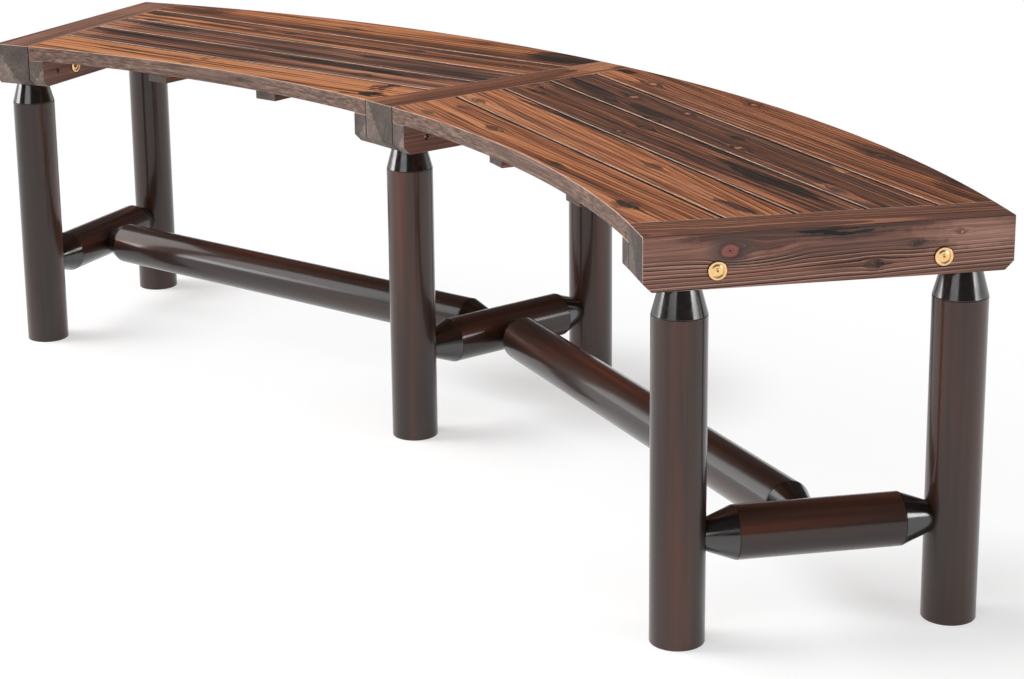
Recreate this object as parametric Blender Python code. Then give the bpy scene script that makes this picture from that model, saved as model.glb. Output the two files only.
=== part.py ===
"""Curved backless garden bench.

Two bays of straight wooden slats fan out between three radial rails, so that the seat follows an
arc. Each rail stands on a pair of round legs. A tapered collar sits on every leg's shoulder, the
leg's round tenon runs up through it into the rail, and round stretchers tie the legs together
near the floor in the same way.

Metres, +Z up. The floor is z = 0, +X runs along the bench to its right-hand end, and the hollow
side of the arc faces -Y. The origin is under the middle of the bench's box.
"""

import math

import bmesh
import bpy
from mathutils import Matrix, Vector

# Seat
SEAT_HEIGHT = 0.455
SEAT_INNER_RADIUS = 1.510
SEAT_DEPTH = 0.398
BAY_ANGLE = math.radians(27.1)

# Rails, one at each end and one in the middle
RAIL_WIDTH = 0.058
RAIL_HEIGHT = 0.059
END_CHAMFER = 0.010

# Slats
SLATS_PER_BAY = 5
SLAT_THICKNESS = 0.020
SLAT_GAP = 0.005
FIRST_GAP_FROM_FRONT = 0.0625
LAST_GAP_FROM_BACK = 0.108
SLAT_END_GAP = 0.0005
SLAT_EDGE_CHAMFER = 0.002
ARC_STEPS = 14

# Cleats along the rails, which carry the slats' ends
CLEAT_THICKNESS = 0.0255

# Battens across the underside of the slats
BATTEN_WIDTH = 0.036
BATTEN_THICKNESS = 0.014
BATTEN_SPACING = 0.210
BATTEN_SETBACK = 0.012

# Legs
LEG_DIAMETER = 0.060
LEG_INSET = 0.0465
FOOT_CHAMFER = 0.001
LEG_TENON_DIAMETER = 0.030
LEG_TENON_IN_RAIL = 0.030

# Collars on top of the legs
LEG_COLLAR_LENGTH = 0.032
LEG_COLLAR_TOP_WALL = 0.0062

# Stretchers
STRETCHER_DIAMETER = 0.059
STRETCHER_AXIS_HEIGHT = 0.118
STRETCHER_TENON_DIAMETER = 0.024
TENON_IN_LEG = 0.025
TENON_IN_STRETCHER = 0.018

# Collars at the stretchers' ends, saddled to what they meet
BAR_COLLAR_LENGTH = 0.031
BAR_COLLAR_TIP_WALL = 0.0057

# Connector bolts and sleeve nuts through the end rails and their cleats
BOLT_INSET = 0.078
BOLT_SHANK_DIAMETER = 0.006
BOLT_HEAD_DIAMETER = 0.020
BOLT_HEAD_THICKNESS = 0.003
HEAD_SINK = 0.0015
HEAD_EDGE_CHAMFER = 0.0006
HEAD_DISH_DIAMETER = 0.015
HEAD_DISH_DEPTH = 0.0015
HEAD_RING_GAP = 0.0009
BOLT_SOCKET_FLATS = 0.004
BOLT_SOCKET_DEPTH = 0.003
BOLT_IN_NUT = 0.012
NUT_BARREL_DIAMETER = 0.010
NUT_END_GAP = 0.002
NUT_SOCKET_FLATS = 0.008
NUT_SOCKET_DEPTH = 0.004

# Screws through the middle cleats; the end cleats have the same holes
SCREW_INSET = 0.035
SCREW_HEAD_DIAMETER = 0.007
SCREW_HEAD_THICKNESS = 0.0025
SCREW_SHANK_DIAMETER = 0.004
SCREW_IN_RAIL = 0.012
SCREW_POINT_LENGTH = 0.004
SCREW_SLOT_WIDTH = 0.001
SCREW_SLOT_DEPTH = 0.0008
SCREW_RECESS_DIAMETER = 0.0085
SCREW_RECESS_DEPTH = 0.006

# Fits
CLEARANCE = 0.0003
TENON_TIP_CHAMFER = 0.001
TENON_TIP_GAP = 0.0005
BODY_SIDES = 32
TENON_SIDES = 20
SMALL_SIDES = 16
SADDLE_SIDES = 64
HEXAGON_SIDES = 6
SMOOTH_ANGLE = math.radians(35)
MERGE_DISTANCE = 1e-6
OVERSHOOT = 0.004

# Levels and places that follow from the sizes above
SEAT_OUTER_RADIUS = SEAT_INNER_RADIUS + SEAT_DEPTH
SLAT_PITCH = (SEAT_DEPTH - FIRST_GAP_FROM_FRONT - LAST_GAP_FROM_BACK) / (SLATS_PER_BAY - 2)
RAIL_BOTTOM = SEAT_HEIGHT - RAIL_HEIGHT
SLAT_BOTTOM = SEAT_HEIGHT - SLAT_THICKNESS
FIXING_HEIGHT = (RAIL_BOTTOM + SLAT_BOTTOM) / 2
LEG_RADIUS = LEG_DIAMETER / 2
STRETCHER_RADIUS = STRETCHER_DIAMETER / 2
RAIL_HALF_WIDTH = RAIL_WIDTH / 2
CLEAT_INNER = RAIL_HALF_WIDTH + CLEARANCE
CLEAT_OUTER = CLEAT_INNER + CLEAT_THICKNESS
FRONT_LEG_STATION = SEAT_INNER_RADIUS + LEG_INSET
BACK_LEG_STATION = SEAT_OUTER_RADIUS - LEG_INSET
MIDDLE_STATION = (FRONT_LEG_STATION + BACK_LEG_STATION) / 2
HALF_BAY = BAY_ANGLE / 2
RAIL_ANGLES = {"left": -BAY_ANGLE, "middle": 0.0, "right": BAY_ANGLE}
BAY_ANGLES = {"left": -HALF_BAY, "right": HALF_BAY}
LEG_STATIONS = {"front": FRONT_LEG_STATION, "back": BACK_LEG_STATION}
BOLT_STATIONS = {"front": SEAT_INNER_RADIUS + BOLT_INSET, "back": SEAT_OUTER_RADIUS - BOLT_INSET}
SCREW_STATIONS = {"front": SEAT_INNER_RADIUS + SCREW_INSET, "back": SEAT_OUTER_RADIUS - SCREW_INSET}

# Radii of the bores and pockets that take a tenon, a bolt, a nut or a screw
LEG_TENON_BORE = LEG_TENON_DIAMETER / 2 + CLEARANCE
STRETCHER_TENON_BORE = STRETCHER_TENON_DIAMETER / 2 + CLEARANCE
BOLT_BORE = BOLT_SHANK_DIAMETER / 2 + CLEARANCE
NUT_BORE = NUT_BARREL_DIAMETER / 2 + CLEARANCE
HEAD_POCKET = BOLT_HEAD_DIAMETER / 2 + HEAD_RING_GAP
SCREW_BORE = SCREW_SHANK_DIAMETER / 2 + CLEARANCE


def station_on_arc(radius, offset):
    """How far out along a rail the arc lies, this far to one side of the rail's middle line."""
    return math.sqrt(radius**2 - offset**2)


def arc_centre():
    """Centre of the seat's arcs on the floor, placed so that the bench's box has x = y = 0 in its middle."""
    corner = station_on_arc(SEAT_INNER_RADIUS, RAIL_HALF_WIDTH)
    front = corner * math.cos(BAY_ANGLE) - RAIL_HALF_WIDTH * math.sin(BAY_ANGLE)
    back = station_on_arc(SEAT_OUTER_RADIUS, 0.0)
    return Vector((0.0, -(front + back) / 2, 0.0))


def clear_scene():
    """Remove whatever the file holds."""
    for thing in list(bpy.data.objects):
        bpy.data.objects.remove(thing, do_unlink=True)


def make_material(name, colour, roughness, metallic=0.0):
    """Principled material with one plain colour."""
    material = bpy.data.materials.new(name)
    material.use_nodes = True
    shader = material.node_tree.nodes["Principled BSDF"]
    shader.inputs["Base Color"].default_value = (*colour, 1.0)
    shader.inputs["Roughness"].default_value = roughness
    shader.inputs["Metallic"].default_value = metallic
    return material


def make_materials():
    """The bench's five finishes."""
    return {
        "fir": make_material("carbonised_fir", (0.235, 0.095, 0.050), 0.55),
        "post": make_material("dark_stained_wood", (0.085, 0.060, 0.053), 0.35),
        "black": make_material("black_lacquer", (0.010, 0.010, 0.010), 0.12),
        "brass": make_material("brass", (0.800, 0.560, 0.260), 0.25, 1.0),
        "steel": make_material("zinc_plated_steel", (0.600, 0.600, 0.590), 0.35, 1.0),
    }


def fan_frame(angle):
    """Frame on the arc's centre: Y points out along this angle, X to the right, Z up."""
    return Matrix.Translation(arc_centre()) @ Matrix.Rotation(-angle, 4, "Z")


def axis_frame(start, direction):
    """Frame at start whose Z runs along a horizontal direction and whose Y is straight up."""
    along = Vector(direction).normalized()
    up = Vector((0.0, 0.0, 1.0))
    side = up.cross(along)
    turn = Matrix((side, up, along)).transposed().to_4x4()
    return Matrix.Translation(Vector(start)) @ turn


def add_object(name, bm, material, frame):
    """Finish a bmesh as an object standing at this frame."""
    bmesh.ops.recalc_face_normals(bm, faces=bm.faces)
    mesh = bpy.data.meshes.new(name)
    bm.to_mesh(mesh)
    bm.free()
    thing = bpy.data.objects.new(name, mesh)
    if material is not None:
        mesh.materials.append(material)
    bpy.context.scene.collection.objects.link(thing)
    thing.matrix_world = frame
    return thing


def shade_round(thing):
    """Smooth shading that keeps the sharp corners."""
    thing.data.shade_smooth()
    thing.data.set_sharp_from_angle(angle=SMOOTH_ANGLE)


def loft(bm, rings):
    """Join rings of equally many points by quads, and close the first and the last ring."""
    rows = [[bm.verts.new(point) for point in ring] for ring in rings]
    count = len(rows[0])
    for lower, upper in zip(rows, rows[1:]):
        for i in range(count):
            j = (i + 1) % count
            bm.faces.new((lower[i], lower[j], upper[j], upper[i]))
    bm.faces.new(rows[0])
    bm.faces.new(rows[-1])


def lathe(bm, profile, sides, frame, closed=False):
    """Turn (radius, height) points about the frame's Z. A closed profile makes a ring with a bore."""
    verts = [bm.verts.new((radius, 0.0, height)) for radius, height in profile]
    pairs = list(zip(verts, verts[1:]))
    if closed:
        pairs.append((verts[-1], verts[0]))
    edges = [bm.edges.new(pair) for pair in pairs]
    before = set(bm.verts) - set(verts)
    bmesh.ops.spin(
        bm,
        geom=verts + edges,
        cent=(0.0, 0.0, 0.0),
        axis=(0.0, 0.0, 1.0),
        angle=math.tau,
        steps=sides,
        use_merge=True,
    )
    turned = [v for v in bm.verts if v not in before]
    bmesh.ops.remove_doubles(bm, verts=turned, dist=MERGE_DISTANCE)
    turned = [v for v in bm.verts if v not in before]
    bmesh.ops.transform(bm, matrix=frame, verts=turned)


def turned_piece(name, profile, sides, material, frame, closed=False):
    """A turned object about the frame's Z."""
    bm = bmesh.new()
    lathe(bm, profile, sides, Matrix.Identity(4), closed)
    thing = add_object(name, bm, material, frame)
    shade_round(thing)
    return thing


def plug(bm, frame, steps, sides):
    """Cutter for a stepped hole that starts just outside the frame's origin and runs along its Z.

    Each step is (radius, depth); the radius gets smaller as the depth grows.
    """
    profile = [(0.0, -OVERSHOOT), (steps[0][0], -OVERSHOOT)]
    for i, (radius, depth) in enumerate(steps):
        profile.append((radius, depth))
        if i + 1 < len(steps):
            profile.append((steps[i + 1][0], depth))
    profile.append((0.0, steps[-1][1]))
    lathe(bm, profile, sides, frame)


def hexagon_plug(bm, frame, flats, depth):
    """Cutter for a hexagon socket, given the distance across its flats."""
    corner_radius = flats / 2 / math.cos(math.pi / HEXAGON_SIDES)
    plug(bm, frame, [(corner_radius, depth)], HEXAGON_SIDES)


def cut(target, bm, name):
    """Take a bmesh, given in the target's own frame, out of the target."""
    cutter = add_object(name, bm, None, target.matrix_world.copy())
    cutter.hide_render = True
    cutter.display_type = "WIRE"
    modifier = target.modifiers.new(name, "BOOLEAN")
    modifier.operation = "DIFFERENCE"
    modifier.solver = "EXACT"
    modifier.object = cutter


def arc_beam(name, side_from, side_to, bottom, top, material, frame):
    """Straight beam along the frame's Y, cut off on the seat's two arcs, its lower corners chamfered."""
    bm = bmesh.new()
    rings = []
    for offset in (side_from, side_to):
        front = station_on_arc(SEAT_INNER_RADIUS, offset)
        back = station_on_arc(SEAT_OUTER_RADIUS, offset)
        rings.append(
            [
                (offset, front, top),
                (offset, front, bottom + END_CHAMFER),
                (offset, front + END_CHAMFER, bottom),
                (offset, back - END_CHAMFER, bottom),
                (offset, back, bottom + END_CHAMFER),
                (offset, back, top),
            ]
        )
    loft(bm, rings)
    return add_object(name, bm, material, frame)


def sideways_frame(side, offset, station):
    """Frame at the fixings' height on a face to one side of a rail, Z running back towards the rail."""
    return axis_frame((side * offset, station, FIXING_HEIGHT), (-side, 0.0, 0.0))


def make_rail(place, materials):
    """One rail, with blind bores for the leg tenons and holes for what fastens its cleats."""
    frame = fan_frame(RAIL_ANGLES[place])
    rail = arc_beam(
        f"rail_{place}", -RAIL_HALF_WIDTH, RAIL_HALF_WIDTH, RAIL_BOTTOM, SEAT_HEIGHT, materials["fir"], frame
    )
    holes = bmesh.new()
    for station in LEG_STATIONS.values():
        mouth = Matrix.Translation((0.0, station, RAIL_BOTTOM))
        plug(holes, mouth, [(LEG_TENON_BORE, LEG_TENON_IN_RAIL + TENON_TIP_GAP)], TENON_SIDES)
    if place == "middle":
        for side in (-1, 1):
            for station in SCREW_STATIONS.values():
                depth = SCREW_IN_RAIL + TENON_TIP_GAP
                mouth = sideways_frame(side, RAIL_HALF_WIDTH, station)
                plug(holes, mouth, [(SCREW_BORE, depth)], SMALL_SIDES)
    else:
        outward = 1 if place == "right" else -1
        for station in BOLT_STATIONS.values():
            mouth = sideways_frame(outward, RAIL_HALF_WIDTH, station)
            steps = [(HEAD_POCKET, HEAD_SINK), (BOLT_BORE, RAIL_WIDTH + OVERSHOOT)]
            plug(holes, mouth, steps, SMALL_SIDES)
    cut(rail, holes, f"rail_{place}_holes")


def make_cleat(name, place, side, bolted, materials):
    """One cleat on one face of a rail, its top one slat's thickness below the seat."""
    frame = fan_frame(RAIL_ANGLES[place])
    cleat = arc_beam(
        name, side * CLEAT_INNER, side * CLEAT_OUTER, RAIL_BOTTOM, SLAT_BOTTOM - CLEARANCE, materials["fir"], frame
    )
    holes = bmesh.new()
    through = CLEAT_THICKNESS + OVERSHOOT
    for station in SCREW_STATIONS.values():
        mouth = sideways_frame(side, CLEAT_OUTER, station)
        steps = [(SCREW_RECESS_DIAMETER / 2, SCREW_RECESS_DEPTH), (SCREW_BORE, through)]
        plug(holes, mouth, steps, SMALL_SIDES)
    if bolted:
        for station in BOLT_STATIONS.values():
            mouth = sideways_frame(side, CLEAT_OUTER, station)
            plug(holes, mouth, [(HEAD_POCKET, HEAD_SINK), (NUT_BORE, through)], SMALL_SIDES)
    cut(cleat, holes, f"{name}_holes")


def make_screw(name, place, side, station, materials):
    """Slotted screw, sunk in a cleat and driven into the rail."""
    head = SCREW_HEAD_DIAMETER / 2
    shank = SCREW_SHANK_DIAMETER / 2
    seat = SCREW_RECESS_DEPTH - CLEARANCE
    tip = CLEAT_THICKNESS + CLEARANCE + SCREW_IN_RAIL
    profile = [
        (0.0, seat - SCREW_HEAD_THICKNESS),
        (head, seat - SCREW_HEAD_THICKNESS),
        (head, seat),
        (shank, seat),
        (shank, tip - SCREW_POINT_LENGTH),
        (0.0, tip),
    ]
    frame = fan_frame(RAIL_ANGLES[place]) @ sideways_frame(side, CLEAT_OUTER, station)
    screw = turned_piece(name, profile, SMALL_SIDES, materials["steel"], frame)
    slot = bmesh.new()
    bmesh.ops.create_cube(slot, size=1.0)
    size = Matrix.Diagonal((SCREW_SLOT_WIDTH, SCREW_HEAD_DIAMETER + OVERSHOOT, SCREW_SLOT_DEPTH * 2, 1.0))
    place_slot = Matrix.Translation((0.0, 0.0, seat - SCREW_HEAD_THICKNESS))
    bmesh.ops.transform(slot, matrix=place_slot @ size, verts=slot.verts)
    cut(screw, slot, f"{name}_slot")


def make_bolt(name, place, outward, station, materials):
    """Connector bolt with a dished head, sunk a little into an end rail's outer face."""
    head = BOLT_HEAD_DIAMETER / 2
    shank = BOLT_SHANK_DIAMETER / 2
    top = HEAD_SINK - CLEARANCE - BOLT_HEAD_THICKNESS
    under = HEAD_SINK - CLEARANCE
    dish = top + HEAD_DISH_DEPTH
    end = RAIL_WIDTH + CLEARANCE + NUT_END_GAP + BOLT_IN_NUT
    profile = [
        (0.0, dish),
        (HEAD_DISH_DIAMETER / 2, dish),
        (HEAD_DISH_DIAMETER / 2, top),
        (head - HEAD_EDGE_CHAMFER, top),
        (head, top + HEAD_EDGE_CHAMFER),
        (head, under),
        (shank, under),
        (shank, end),
        (0.0, end),
    ]
    frame = fan_frame(RAIL_ANGLES[place]) @ sideways_frame(outward, RAIL_HALF_WIDTH, station)
    bolt = turned_piece(name, profile, SMALL_SIDES, materials["brass"], frame)
    socket = bmesh.new()
    hexagon_plug(socket, Matrix.Translation((0.0, 0.0, dish)), BOLT_SOCKET_FLATS, BOLT_SOCKET_DEPTH)
    cut(bolt, socket, f"{name}_socket")


def make_nut(name, place, side, station, materials):
    """Sleeve nut with a dished flange, sunk a little into a cleat's face; the bolt ends in its bore."""
    head = BOLT_HEAD_DIAMETER / 2
    top = HEAD_SINK - CLEARANCE - BOLT_HEAD_THICKNESS
    under = HEAD_SINK - CLEARANCE
    dish = top + HEAD_DISH_DEPTH
    end = CLEAT_THICKNESS - NUT_END_GAP
    profile = [
        (BOLT_BORE, dish),
        (HEAD_DISH_DIAMETER / 2, dish),
        (HEAD_DISH_DIAMETER / 2, top),
        (head - HEAD_EDGE_CHAMFER, top),
        (head, top + HEAD_EDGE_CHAMFER),
        (head, under),
        (NUT_BARREL_DIAMETER / 2, under),
        (NUT_BARREL_DIAMETER / 2, end),
        (BOLT_BORE, end),
    ]
    frame = fan_frame(RAIL_ANGLES[place]) @ sideways_frame(side, CLEAT_OUTER, station)
    nut = turned_piece(name, profile, SMALL_SIDES, materials["brass"], frame, closed=True)
    socket = bmesh.new()
    hexagon_plug(socket, Matrix.Translation((0.0, 0.0, dish)), NUT_SOCKET_FLATS, NUT_SOCKET_DEPTH)
    cut(nut, socket, f"{name}_socket")


def edge_ends(offset, is_arc):
    """Half length of a slat's edge, square to its bay's middle line, and the polar angle of its end."""
    clear = RAIL_HALF_WIDTH + SLAT_END_GAP
    if is_arc:
        return HALF_BAY - math.asin(clear / offset)
    return (offset * math.sin(HALF_BAY) - clear) / math.cos(HALF_BAY)


def slat_edge(offset, is_arc):
    """Points of one long edge from left to right, at this distance from the arc's centre."""
    end = edge_ends(offset, is_arc)
    if not is_arc:
        return [(-end, offset), (end, offset)]
    points = []
    for i in range(ARC_STEPS + 1):
        angle = end * (2 * i / ARC_STEPS - 1)
        points.append((offset * math.sin(angle), offset * math.cos(angle)))
    return points


def slat_limits(index):
    """Front and back edge of one slat: distance from the arc's centre, and whether it is an arc."""
    first_gap = SEAT_INNER_RADIUS + FIRST_GAP_FROM_FRONT
    if index == 0:
        front = (SEAT_INNER_RADIUS, True)
    else:
        front = (first_gap + (index - 1) * SLAT_PITCH + SLAT_GAP / 2, False)
    if index == SLATS_PER_BAY - 1:
        back = (SEAT_OUTER_RADIUS, True)
    else:
        back = (first_gap + index * SLAT_PITCH - SLAT_GAP / 2, False)
    return front, back


def make_slat(bay, index, materials):
    """One slat of a bay, counted from the hollow side, its long upper edges eased."""
    (front, front_is_arc), (back, back_is_arc) = slat_limits(index)
    rings = []
    for inset, height in (
        (0.0, SLAT_BOTTOM),
        (0.0, SEAT_HEIGHT - SLAT_EDGE_CHAMFER),
        (SLAT_EDGE_CHAMFER, SEAT_HEIGHT),
    ):
        outline = slat_edge(front + inset, front_is_arc) + slat_edge(back - inset, back_is_arc)[::-1]
        rings.append([(x, y, height) for x, y in outline])
    bm = bmesh.new()
    loft(bm, rings)
    add_object(f"slat_{bay}_{index + 1}", bm, materials["fir"], fan_frame(BAY_ANGLES[bay]))


def make_batten(bay, number, side, materials):
    """One batten across the underside of a bay's slats."""
    middle = side * BATTEN_SPACING / 2
    front = station_on_arc(SEAT_INNER_RADIUS, middle) + BATTEN_SETBACK
    back = station_on_arc(SEAT_OUTER_RADIUS, middle) - BATTEN_SETBACK
    top = SLAT_BOTTOM - CLEARANCE
    left, right = middle - BATTEN_WIDTH / 2, middle + BATTEN_WIDTH / 2
    outline = [(left, front), (right, front), (right, back), (left, back)]
    bm = bmesh.new()
    loft(bm, [[(x, y, z) for x, y in outline] for z in (top - BATTEN_THICKNESS, top)])
    add_object(f"batten_{bay}_{number}", bm, materials["fir"], fan_frame(BAY_ANGLES[bay]))


def make_leg(place, end, materials):
    """Round leg with a tenon on top and a blind bore for its cross stretcher."""
    shoulder = RAIL_BOTTOM - LEG_COLLAR_LENGTH
    tenon = LEG_TENON_DIAMETER / 2
    top = RAIL_BOTTOM + LEG_TENON_IN_RAIL
    profile = [
        (0.0, 0.0),
        (LEG_RADIUS - FOOT_CHAMFER, 0.0),
        (LEG_RADIUS, FOOT_CHAMFER),
        (LEG_RADIUS, shoulder),
        (tenon, shoulder),
        (tenon, top - TENON_TIP_CHAMFER),
        (tenon - TENON_TIP_CHAMFER, top),
        (0.0, top),
    ]
    station = LEG_STATIONS[end]
    frame = fan_frame(RAIL_ANGLES[place]) @ Matrix.Translation((0.0, station, 0.0))
    leg = turned_piece(f"leg_{place}_{end}", profile, BODY_SIDES, materials["post"], frame)
    inward = 1 if end == "front" else -1
    mouth = axis_frame((0.0, inward * LEG_RADIUS, STRETCHER_AXIS_HEIGHT), (0.0, -inward, 0.0))
    bore = bmesh.new()
    plug(bore, mouth, [(STRETCHER_TENON_BORE, TENON_IN_LEG + TENON_TIP_GAP)], TENON_SIDES)
    cut(leg, bore, f"leg_{place}_{end}_bore")


def make_leg_collar(place, end, materials):
    """Tapered collar between a leg's shoulder and the rail, round the leg's tenon."""
    bottom = RAIL_BOTTOM - LEG_COLLAR_LENGTH + CLEARANCE
    top = RAIL_BOTTOM - CLEARANCE
    tip_radius = LEG_TENON_BORE + LEG_COLLAR_TOP_WALL
    profile = [(LEG_TENON_BORE, bottom), (LEG_RADIUS, bottom), (tip_radius, top), (LEG_TENON_BORE, top)]
    frame = fan_frame(RAIL_ANGLES[place]) @ Matrix.Translation((0.0, LEG_STATIONS[end], 0.0))
    turned_piece(f"leg_collar_{place}_{end}", profile, BODY_SIDES, materials["black"], frame, closed=True)


def make_bar(name, length, setback, tenon_setback, materials, frame):
    """Round bar along the frame's Z between two joints, its body and tenons stopping short of each joint."""
    tenon = STRETCHER_TENON_DIAMETER / 2
    chamfer = TENON_TIP_CHAMFER
    half = [
        (0.0, tenon_setback),
        (tenon - chamfer, tenon_setback),
        (tenon, tenon_setback + chamfer),
        (tenon, setback),
        (STRETCHER_RADIUS, setback),
    ]
    profile = half + [(radius, length - height) for radius, height in reversed(half)]
    return turned_piece(name, profile, BODY_SIDES, materials["post"], frame)


def make_bar_collar(name, joint_radius, joint_axis, materials, frame):
    """Tapered collar at a bar's end, saddled to the round post or bar that it meets.

    The frame's origin is on that post's axis, and its Z runs out along the bar.
    """
    shoulder = joint_radius + BAR_COLLAR_LENGTH - CLEARANCE
    surface_radius = STRETCHER_TENON_BORE + BAR_COLLAR_TIP_WALL
    # The tip starts where the post has curved away from the bar's whole width, and is then cut back.
    half_width = min(surface_radius, joint_radius)
    sag = joint_radius - math.sqrt(joint_radius**2 - half_width**2)
    lean = abs(joint_axis.z) / math.hypot(joint_axis.x, joint_axis.y)
    overrun = sag + half_width * lean
    tip = joint_radius - overrun
    slope = (STRETCHER_RADIUS - surface_radius) / BAR_COLLAR_LENGTH
    tip_radius = surface_radius - slope * overrun
    profile = [
        (STRETCHER_TENON_BORE, tip),
        (tip_radius, tip),
        (STRETCHER_RADIUS, shoulder),
        (STRETCHER_TENON_BORE, shoulder),
    ]
    collar = turned_piece(name, profile, BODY_SIDES, materials["black"], frame, closed=True)
    radius = joint_radius + CLEARANCE
    reach = STRETCHER_DIAMETER
    post_profile = [(0.0, -reach), (radius, -reach), (radius, reach), (0.0, reach)]
    post = bmesh.new()
    lathe(post, post_profile, SADDLE_SIDES, joint_axis.to_track_quat("Z", "Y").to_matrix().to_4x4())
    cut(collar, post, f"{name}_saddle")


def long_bar_frame(bay, from_right):
    """Frame on the middle of a cross stretcher, Z running along the bay's long stretcher."""
    turn = -1 if from_right else 1
    half_length = MIDDLE_STATION * math.sin(HALF_BAY)
    distance = MIDDLE_STATION * math.cos(HALF_BAY)
    start = (-turn * half_length, distance, STRETCHER_AXIS_HEIGHT)
    return fan_frame(BAY_ANGLES[bay]) @ axis_frame(start, (turn, 0.0, 0.0))


def make_cross_stretcher(place, materials):
    """Bar from the front leg to the back leg, with its two collars and the long stretchers' bores."""
    length = BACK_LEG_STATION - FRONT_LEG_STATION
    frames = {
        "front": axis_frame((0.0, FRONT_LEG_STATION, STRETCHER_AXIS_HEIGHT), (0.0, 1.0, 0.0)),
        "back": axis_frame((0.0, BACK_LEG_STATION, STRETCHER_AXIS_HEIGHT), (0.0, -1.0, 0.0)),
    }
    fan = fan_frame(RAIL_ANGLES[place])
    bar = make_bar(
        f"cross_stretcher_{place}",
        length,
        LEG_RADIUS + BAR_COLLAR_LENGTH,
        LEG_RADIUS - TENON_IN_LEG,
        materials,
        fan @ frames["front"],
    )
    upright = Vector((0.0, 1.0, 0.0))
    for end, frame in frames.items():
        make_bar_collar(f"cross_collar_{place}_{end}", LEG_RADIUS, upright, materials, fan @ frame)
    mouths = {"left": [("left", False)], "middle": [("left", True), ("right", False)], "right": [("right", True)]}
    bores = bmesh.new()
    for bay, from_right in mouths[place]:
        # The bore starts outside the bar and runs back along the long stretcher to near the bar's axis.
        inward = long_bar_frame(bay, from_right) @ Matrix.Translation((0.0, 0.0, STRETCHER_DIAMETER))
        inward = inward @ Matrix.Rotation(math.pi, 4, "Y")
        depth = STRETCHER_DIAMETER - (STRETCHER_RADIUS - TENON_IN_STRETCHER) + TENON_TIP_GAP
        local = bar.matrix_world.inverted() @ inward
        plug(bores, local, [(STRETCHER_TENON_BORE, depth)], TENON_SIDES)
    cut(bar, bores, f"cross_stretcher_{place}_bores")


def make_long_stretcher(bay, materials):
    """Bar between two cross stretchers, with its two collars."""
    length = 2 * MIDDLE_STATION * math.sin(HALF_BAY)
    left = long_bar_frame(bay, False)
    right = long_bar_frame(bay, True)
    make_bar(
        f"long_stretcher_{bay}",
        length,
        STRETCHER_RADIUS + BAR_COLLAR_LENGTH,
        STRETCHER_RADIUS - TENON_IN_STRETCHER,
        materials,
        left,
    )
    # Each collar meets a cross stretcher that leans half a bay's angle from square.
    for end, frame, lean in (("left", left, HALF_BAY), ("right", right, -HALF_BAY)):
        rail_direction = Vector((math.cos(lean), 0.0, -math.sin(lean)))
        make_bar_collar(f"long_collar_{bay}_{end}", STRETCHER_RADIUS, rail_direction, materials, frame)


def make_seat(materials):
    """Rails, cleats, slats and battens, with what fastens the cleats."""
    for place in RAIL_ANGLES:
        make_rail(place, materials)
    cleats = [
        ("cleat_left", "left", 1, True),
        ("cleat_middle_left", "middle", -1, False),
        ("cleat_middle_right", "middle", 1, False),
        ("cleat_right", "right", -1, True),
    ]
    for name, place, side, bolted in cleats:
        make_cleat(name, place, side, bolted, materials)
        if bolted:
            for end, station in BOLT_STATIONS.items():
                make_bolt(f"connector_bolt_{place}_{end}", place, -side, station, materials)
                make_nut(f"sleeve_nut_{place}_{end}", place, side, station, materials)
        else:
            for end, station in SCREW_STATIONS.items():
                make_screw(f"{name.replace('cleat', 'screw')}_{end}", place, side, station, materials)
    for bay in BAY_ANGLES:
        for index in range(SLATS_PER_BAY):
            make_slat(bay, index, materials)
        for number, side in ((1, -1), (2, 1)):
            make_batten(bay, number, side, materials)


def make_base(materials):
    """Legs and stretchers with their collars."""
    for place in RAIL_ANGLES:
        for end in LEG_STATIONS:
            make_leg(place, end, materials)
            make_leg_collar(place, end, materials)
        make_cross_stretcher(place, materials)
    for bay in BAY_ANGLES:
        make_long_stretcher(bay, materials)


def main():
    """Build the bench."""
    clear_scene()
    materials = make_materials()
    make_seat(materials)
    make_base(materials)


main()
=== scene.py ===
"""Looks of the curved backless garden bench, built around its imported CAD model.

Every CAD node is replaced by a more finely made piece in the same place. Metres, +Z up, the
floor at z = 0, +X to the bench's right-hand end, the hollow side of the arc towards -Y.
"""

import math
from dataclasses import dataclass

import bmesh
import bpy
from mathutils import Matrix, Vector


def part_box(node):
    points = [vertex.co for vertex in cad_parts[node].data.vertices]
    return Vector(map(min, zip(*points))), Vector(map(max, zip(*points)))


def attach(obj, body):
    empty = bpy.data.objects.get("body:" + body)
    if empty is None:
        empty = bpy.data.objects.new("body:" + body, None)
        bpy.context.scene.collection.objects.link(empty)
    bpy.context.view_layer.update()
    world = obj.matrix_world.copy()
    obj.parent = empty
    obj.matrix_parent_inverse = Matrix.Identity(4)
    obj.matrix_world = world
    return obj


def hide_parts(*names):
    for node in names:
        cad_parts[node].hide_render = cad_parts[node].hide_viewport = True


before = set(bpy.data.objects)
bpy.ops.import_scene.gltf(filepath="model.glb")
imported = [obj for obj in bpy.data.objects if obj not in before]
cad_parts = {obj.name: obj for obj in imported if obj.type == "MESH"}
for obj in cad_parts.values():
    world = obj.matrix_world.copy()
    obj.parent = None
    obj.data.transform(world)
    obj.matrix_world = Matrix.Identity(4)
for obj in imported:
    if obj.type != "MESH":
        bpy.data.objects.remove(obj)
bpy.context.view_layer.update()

# Sizes of the CAD model, as in its source
SEAT_HEIGHT = 0.455
INNER_RADIUS = 1.510
OUTER_RADIUS = 1.908
BAY_ANGLE = math.radians(27.1)
HALF_BAY = BAY_ANGLE / 2
RAIL_HALF_WIDTH = 0.029
RAIL_HALF_HEIGHT = 0.0295
RAIL_BOTTOM = 0.396
END_CHAMFER = 0.010
SLATS_PER_BAY = 5
SLAT_BOTTOM = 0.435
SLAT_GAP = 0.005
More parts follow.
